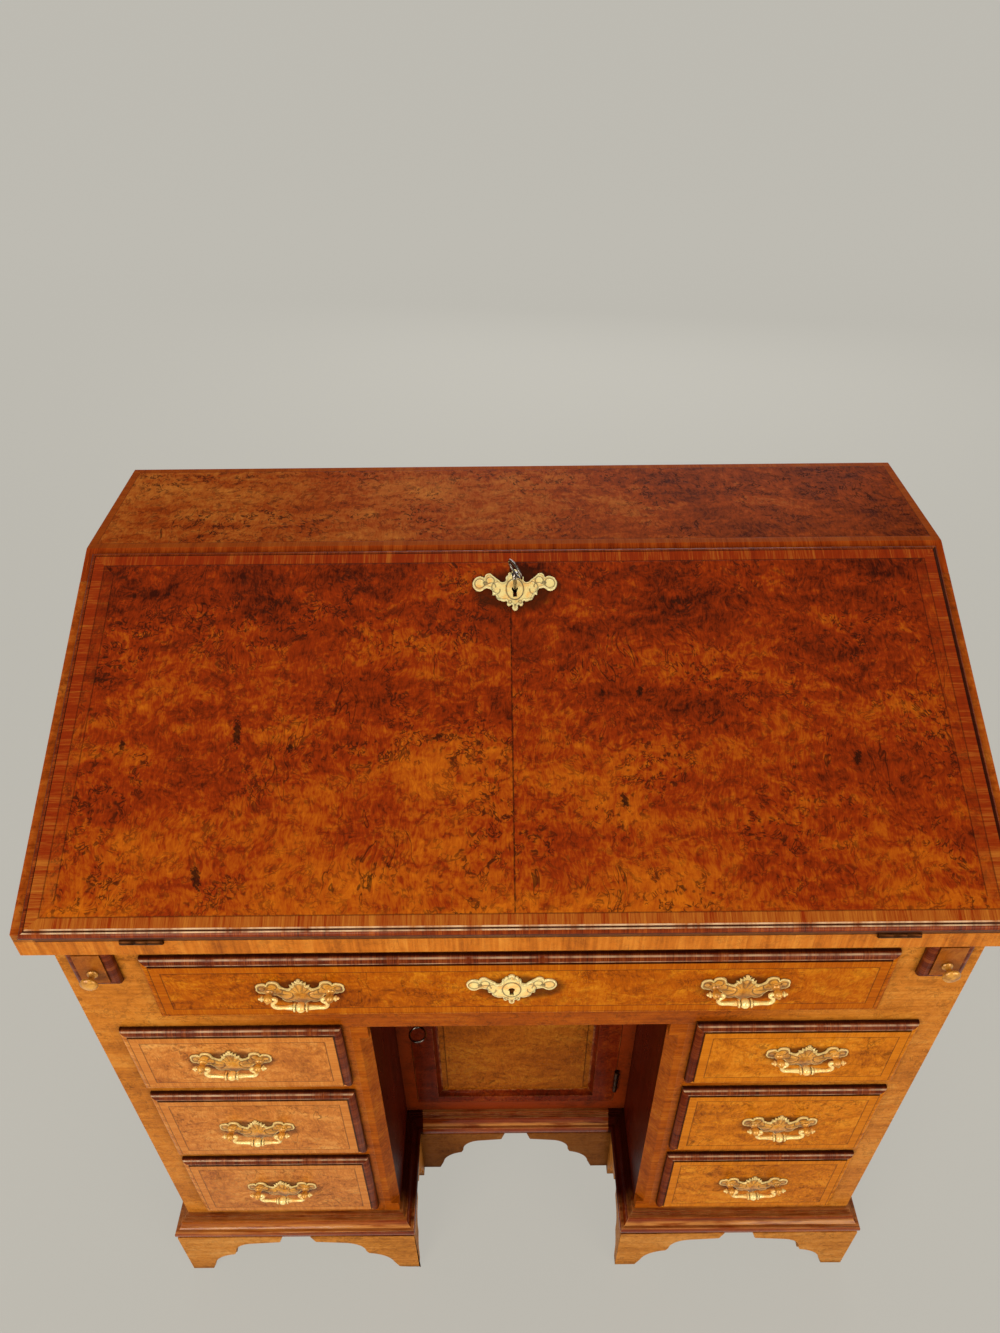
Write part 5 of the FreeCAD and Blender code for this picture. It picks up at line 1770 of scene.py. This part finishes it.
@dataclass
class Drawers:
    """The long drawer and the six pedestal drawers, with their handles and brasses."""

    lip_width: float = 8 * MM
    band_width: float = 10 * MM
    key_drop: float = 40.5 * MM
    # Painted shadow round each handle plate.
    halo: Pair = (43 * MM, 19 * MM)
    halo_drop: float = 4 * MM
    plate_rise: float = 2 * MM
    long_stain: Stain = Stain("682803", "a85404", "d08618")
    # The left bank's stain is paler and greyer than the right's: painted sheen.
    left_stain: Stain = Stain("84400e", "c0742a", "e0a254")
    right_stain: Stain = Stain("7e3a04", "c06e0c", "de962a")

    def build(self, brass: Material, pale: Material) -> None:
        """Finish every drawer front and mount its brasses.

        Args:
            brass: The handle plates' finish.
            pale: The finish of the bails and the escutcheon.
        """
        self.face("long_drawer", Bank.LONG, 7.7, self.long_stain)
        for bank, seed, stain in ((Bank.LEFT, 11.3, self.left_stain), (Bank.RIGHT, 42.3, self.right_stain)):
            for at, row in enumerate(("top", "middle", "bottom")):
                name = f"{bank.name.lower()}_{row}_drawer"
                self.face(name, bank, seed + 2.9 * at, stain)
                DropHandle(name, name, f"{name}_handle").build(brass, pale)
        for side in ("left", "right"):
            DropHandle(f"long_drawer_{side}", "long_drawer", "long_drawer_brasses").build(brass, pale)
        case_low, case_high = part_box("long_drawer_lock_case")
        face_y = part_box("long_drawer_front")[0].y
        middle = Vector(((case_low.x + case_high.x) / 2, face_y, case_high.z - self.key_drop))
        KeyPlate("long_drawer_key_plate", "long_drawer", "long_drawer_brasses", middle, UP).build(pale)

    def face(self, drawer: str, bank: Bank, seed: float, stain: Stain) -> None:
        """Veneer one drawer front and line its box.

        Args:
            drawer: The drawer's body.
            bank: Where it stands.
            seed: Picks the cut of veneer.
            stain: The field's tones.
        """
        middle, half = front_of(f"{drawer}_front")
        long, left = bank is Bank.LONG, bank is Bank.LEFT
        handles = ("long_drawer_left", "long_drawer_right") if long else (drawer,)
        pivots = [joint_place(f"{handle}_bail_swing")[0] for handle in handles]
        halos = [Halo(at.x - middle[0], at.z - middle[1] - self.halo_drop, *self.halo) for at in pivots]
        if long:
            halos.append(Halo(0.0, self.plate_rise, *self.halo))
        veneer = PanelFinish(f"burr_{drawer}", Plane.FRONT, middle, half, stain, stain, WALNUT_LIP,
                             self.lip_width, self.band_width, seed=seed, eyes=0.45, cracks=0.5,
                             line_width=0.8 * MM, lines=0.55, rim=stain, rim_edges=(Edge.LOW, *bank.value),
                             rubbing=0.42, gloss=0.1 if left else 0.03, coat=0.03 if left else 0.0,
                             shine=(Edge.HIGH,), quirks=(8.2 * MM, -0.3 * MM), arrises=(1.4 * MM, 6.6 * MM),
                             fade=(0.2 if long else 0.0, 0.0), halos=tuple(halos))
        dress(f"{drawer}_front", veneer.material(), 0.35 * MM)
        dress(f"{drawer}_box", oak())


@cache
def oak() -> Material:
    """The oak of the linings, made once."""
    return OAK.material()


@dataclass
class Carcase:
    """The lower case: sides, frame, kneehole, linings, base moulding and bracket feet."""

    lip_width: float = 8 * MM
    back_board: float = 166 * MM
    loper_stain: Stain = Stain("5a2608", "945014", "b87a30")
    knob: tuple[Pair, ...] = (
        (5.0, 0.0), (5.2, 1.2), (4.6, 2.0), (3.2, 2.6), (2.5, 4.2), (2.6, 6.4), (3.6, 8.0), (6.6, 9.2),
        (8.3, 10.4), (8.5, 11.4), (8.0, 12.4), (6.6, 13.3), (4.4, 14.0), (3.6, 13.9), (2.8, 14.3),
        (0.8, 14.5))

    def dress(self) -> None:
        """Finish the case's boards and mouldings."""
        front = -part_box("outer_sides")[0].y
        gold_face = Facing((-1.0, 0.0), front, WALNUT_SUNNED, Grain.ACROSS)
        arris = Facing((-1.0, 0.0), front, WALNUT_GOLD, Grain.ACROSS, 10.4 * MM)
        sides = WoodFinish("case_sides", Stain("552409", "94521d", "bd7f3c"), Grain.UPRIGHT, 0.6,
                           facing=gold_face, gloss=0.05)
        knee = WoodFinish("kneehole_walnut", WALNUT_MAROON, Grain.UPRIGHT, 0.3, 0.3, 0.0,
                          wear="7a3a18", facing=arris, gloss=0.02)
        # The frame, base moulding and feet carry painted shade inside the kneehole.
        rails = WoodFinish("frame_walnut", WALNUT_GOLD, Grain.ACROSS, 0.55, shelter=Shelter(0.95, "7a2a0a"),
                           sunned=WALNUT_SUNNED, gloss=0.05, coat=0.02)
        base = WoodFinish("base_moulding_walnut", Stain("200702", "762a08", "b06020"), Grain.ACROSS, 0.2,
                          0.26, 0.5, wear="d8a468", shelter=Shelter(0.97, "300602", 132 * MM), gloss=0.03,
                          sunned=Stain("280c06", "863a0c", "be7026"), rubbed="de9a50")
        feet = WoodFinish("feet_walnut", Stain("783e0c", "ba782e", "dca45c"), Grain.ACROSS, 0.6, 0.4, 0.0,
                          shelter=Shelter(0.96, "521f03", behind=95 * MM), gloss=0.02)
        backs = replace(OAK, name="back_boards_oak", grain=Grain.UPRIGHT, burr=0.05, gloss=0.05,
                        board=self.back_board)
        boards = (("outer_sides", sides, 0.0), ("kneehole_sides", knee, 0.0), ("face_frame", rails, 0.0),
                  ("base_moulding", base, 0.4 * MM), ("bracket_feet", feet, 0.8 * MM),
                  ("back_boards", backs, 0.0))
        for node, finish, ease in boards:
            dress(node, finish.material(), ease)
        dress("dust_boards", oak())

    def lopers(self, brass: Material) -> None:
        """Finish the lopers and turn their knobs.

        Args:
            brass: The knobs' finish.
        """
        for side in ("left", "right"):
            name = f"{side}_loper"
            end = PanelFinish(f"end_{name}", Plane.FRONT, *front_of(name), self.loper_stain, WALNUT_BAND,
                              WALNUT_LIP, self.lip_width, 0.0, line_width=0.1 * MM, seed=52.0, contrast=0.6,
                              eyes=0.3, cracks=0.4)
            dress(name, end.material(), 0.35 * MM)
            (x, z), _ = front_of(f"{name}_knob")
            foot = Vector((x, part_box(name)[0].y, z))
            shell = Shell()
            shell.turned(in_mm(self.knob), place_on(foot, RIGHT, UP))
            mount(f"{name}_turned_knob", shell, brass, name, f"{name}_knob")


@dataclass
class Cupboard:
    """The kneehole cupboard's door, with its panel, lock and key."""

    key_reach: float = 21 * MM
    bow: Pair = (9.8 * MM, 9.8 * MM)
    panel_stain: Stain = Stain("501e03", "904a0a", "b4741e")

    def build(self, steel: Material) -> None:
        """Finish the door and mount its key.

        Args:
            steel: The key's finish.
        """
        frame_wood = WoodFinish("door_walnut", Stain("260802", "681e06", "9a4412"), Grain.UPRIGHT, 0.75, 0.28,
                                0.02, gloss=0.02)
        dress("door_frame", frame_wood.material(), 0.4 * MM)
        panel = PanelFinish("burr_door", Plane.FRONT, *front_of("door_panel"), self.panel_stain, WALNUT_BAND,
                            WALNUT_LIP, 0.0, 0.0, line_width=0.1 * MM, seed=21.0, contrast=0.8, gloss=0.02,
                            coat=0.0, eyes=0.5, lines=0.0)
        dress("door_panel", panel.material(), 0.4 * MM)
        LockKey("door_key", "door_key_turn", 0.0, self.key_reach, UP, self.bow).build(steel)


@dataclass
class Ironmongery:
    """Hinges, lock cases and bolts, which keep their CAD shapes."""

    nodes: tuple[str, ...] = (
        "carcase_hinge_leaves", "fall_hinge_leaves", "door_hinge_leaves", "fall_lock_case", "fall_lock_bolt",
        "door_lock_case", "door_lock_bolt", "long_drawer_lock_case", "long_drawer_lock_bolt")
    ease: float = 0.3 * MM

    def dress(self) -> None:
        """Finish each fitting in dull brass, darkened as painted shade."""
        brass = SHADED_DULL_BRASS.material()
        for node in self.nodes:
            dress(node, brass, self.ease)


def main() -> None:
    """Build the studio and every sub-assembly, in order."""
    logging.basicConfig(level=logging.INFO, format="%(name)s: %(message)s")
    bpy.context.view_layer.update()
    Studio().build()
    brass = BRASS.material()
    pale = HIGHLIT_BRASS.material()
    steel = STEEL.material()
    carcase = Carcase()
    carcase.dress()
    carcase.lopers(brass)
    Desk().dress()
    FallFront().build(pale, steel)
    Drawers().build(brass, pale)
    Cupboard().build(steel)
    Ironmongery().dress()


if __name__ == "__main__":
    main()
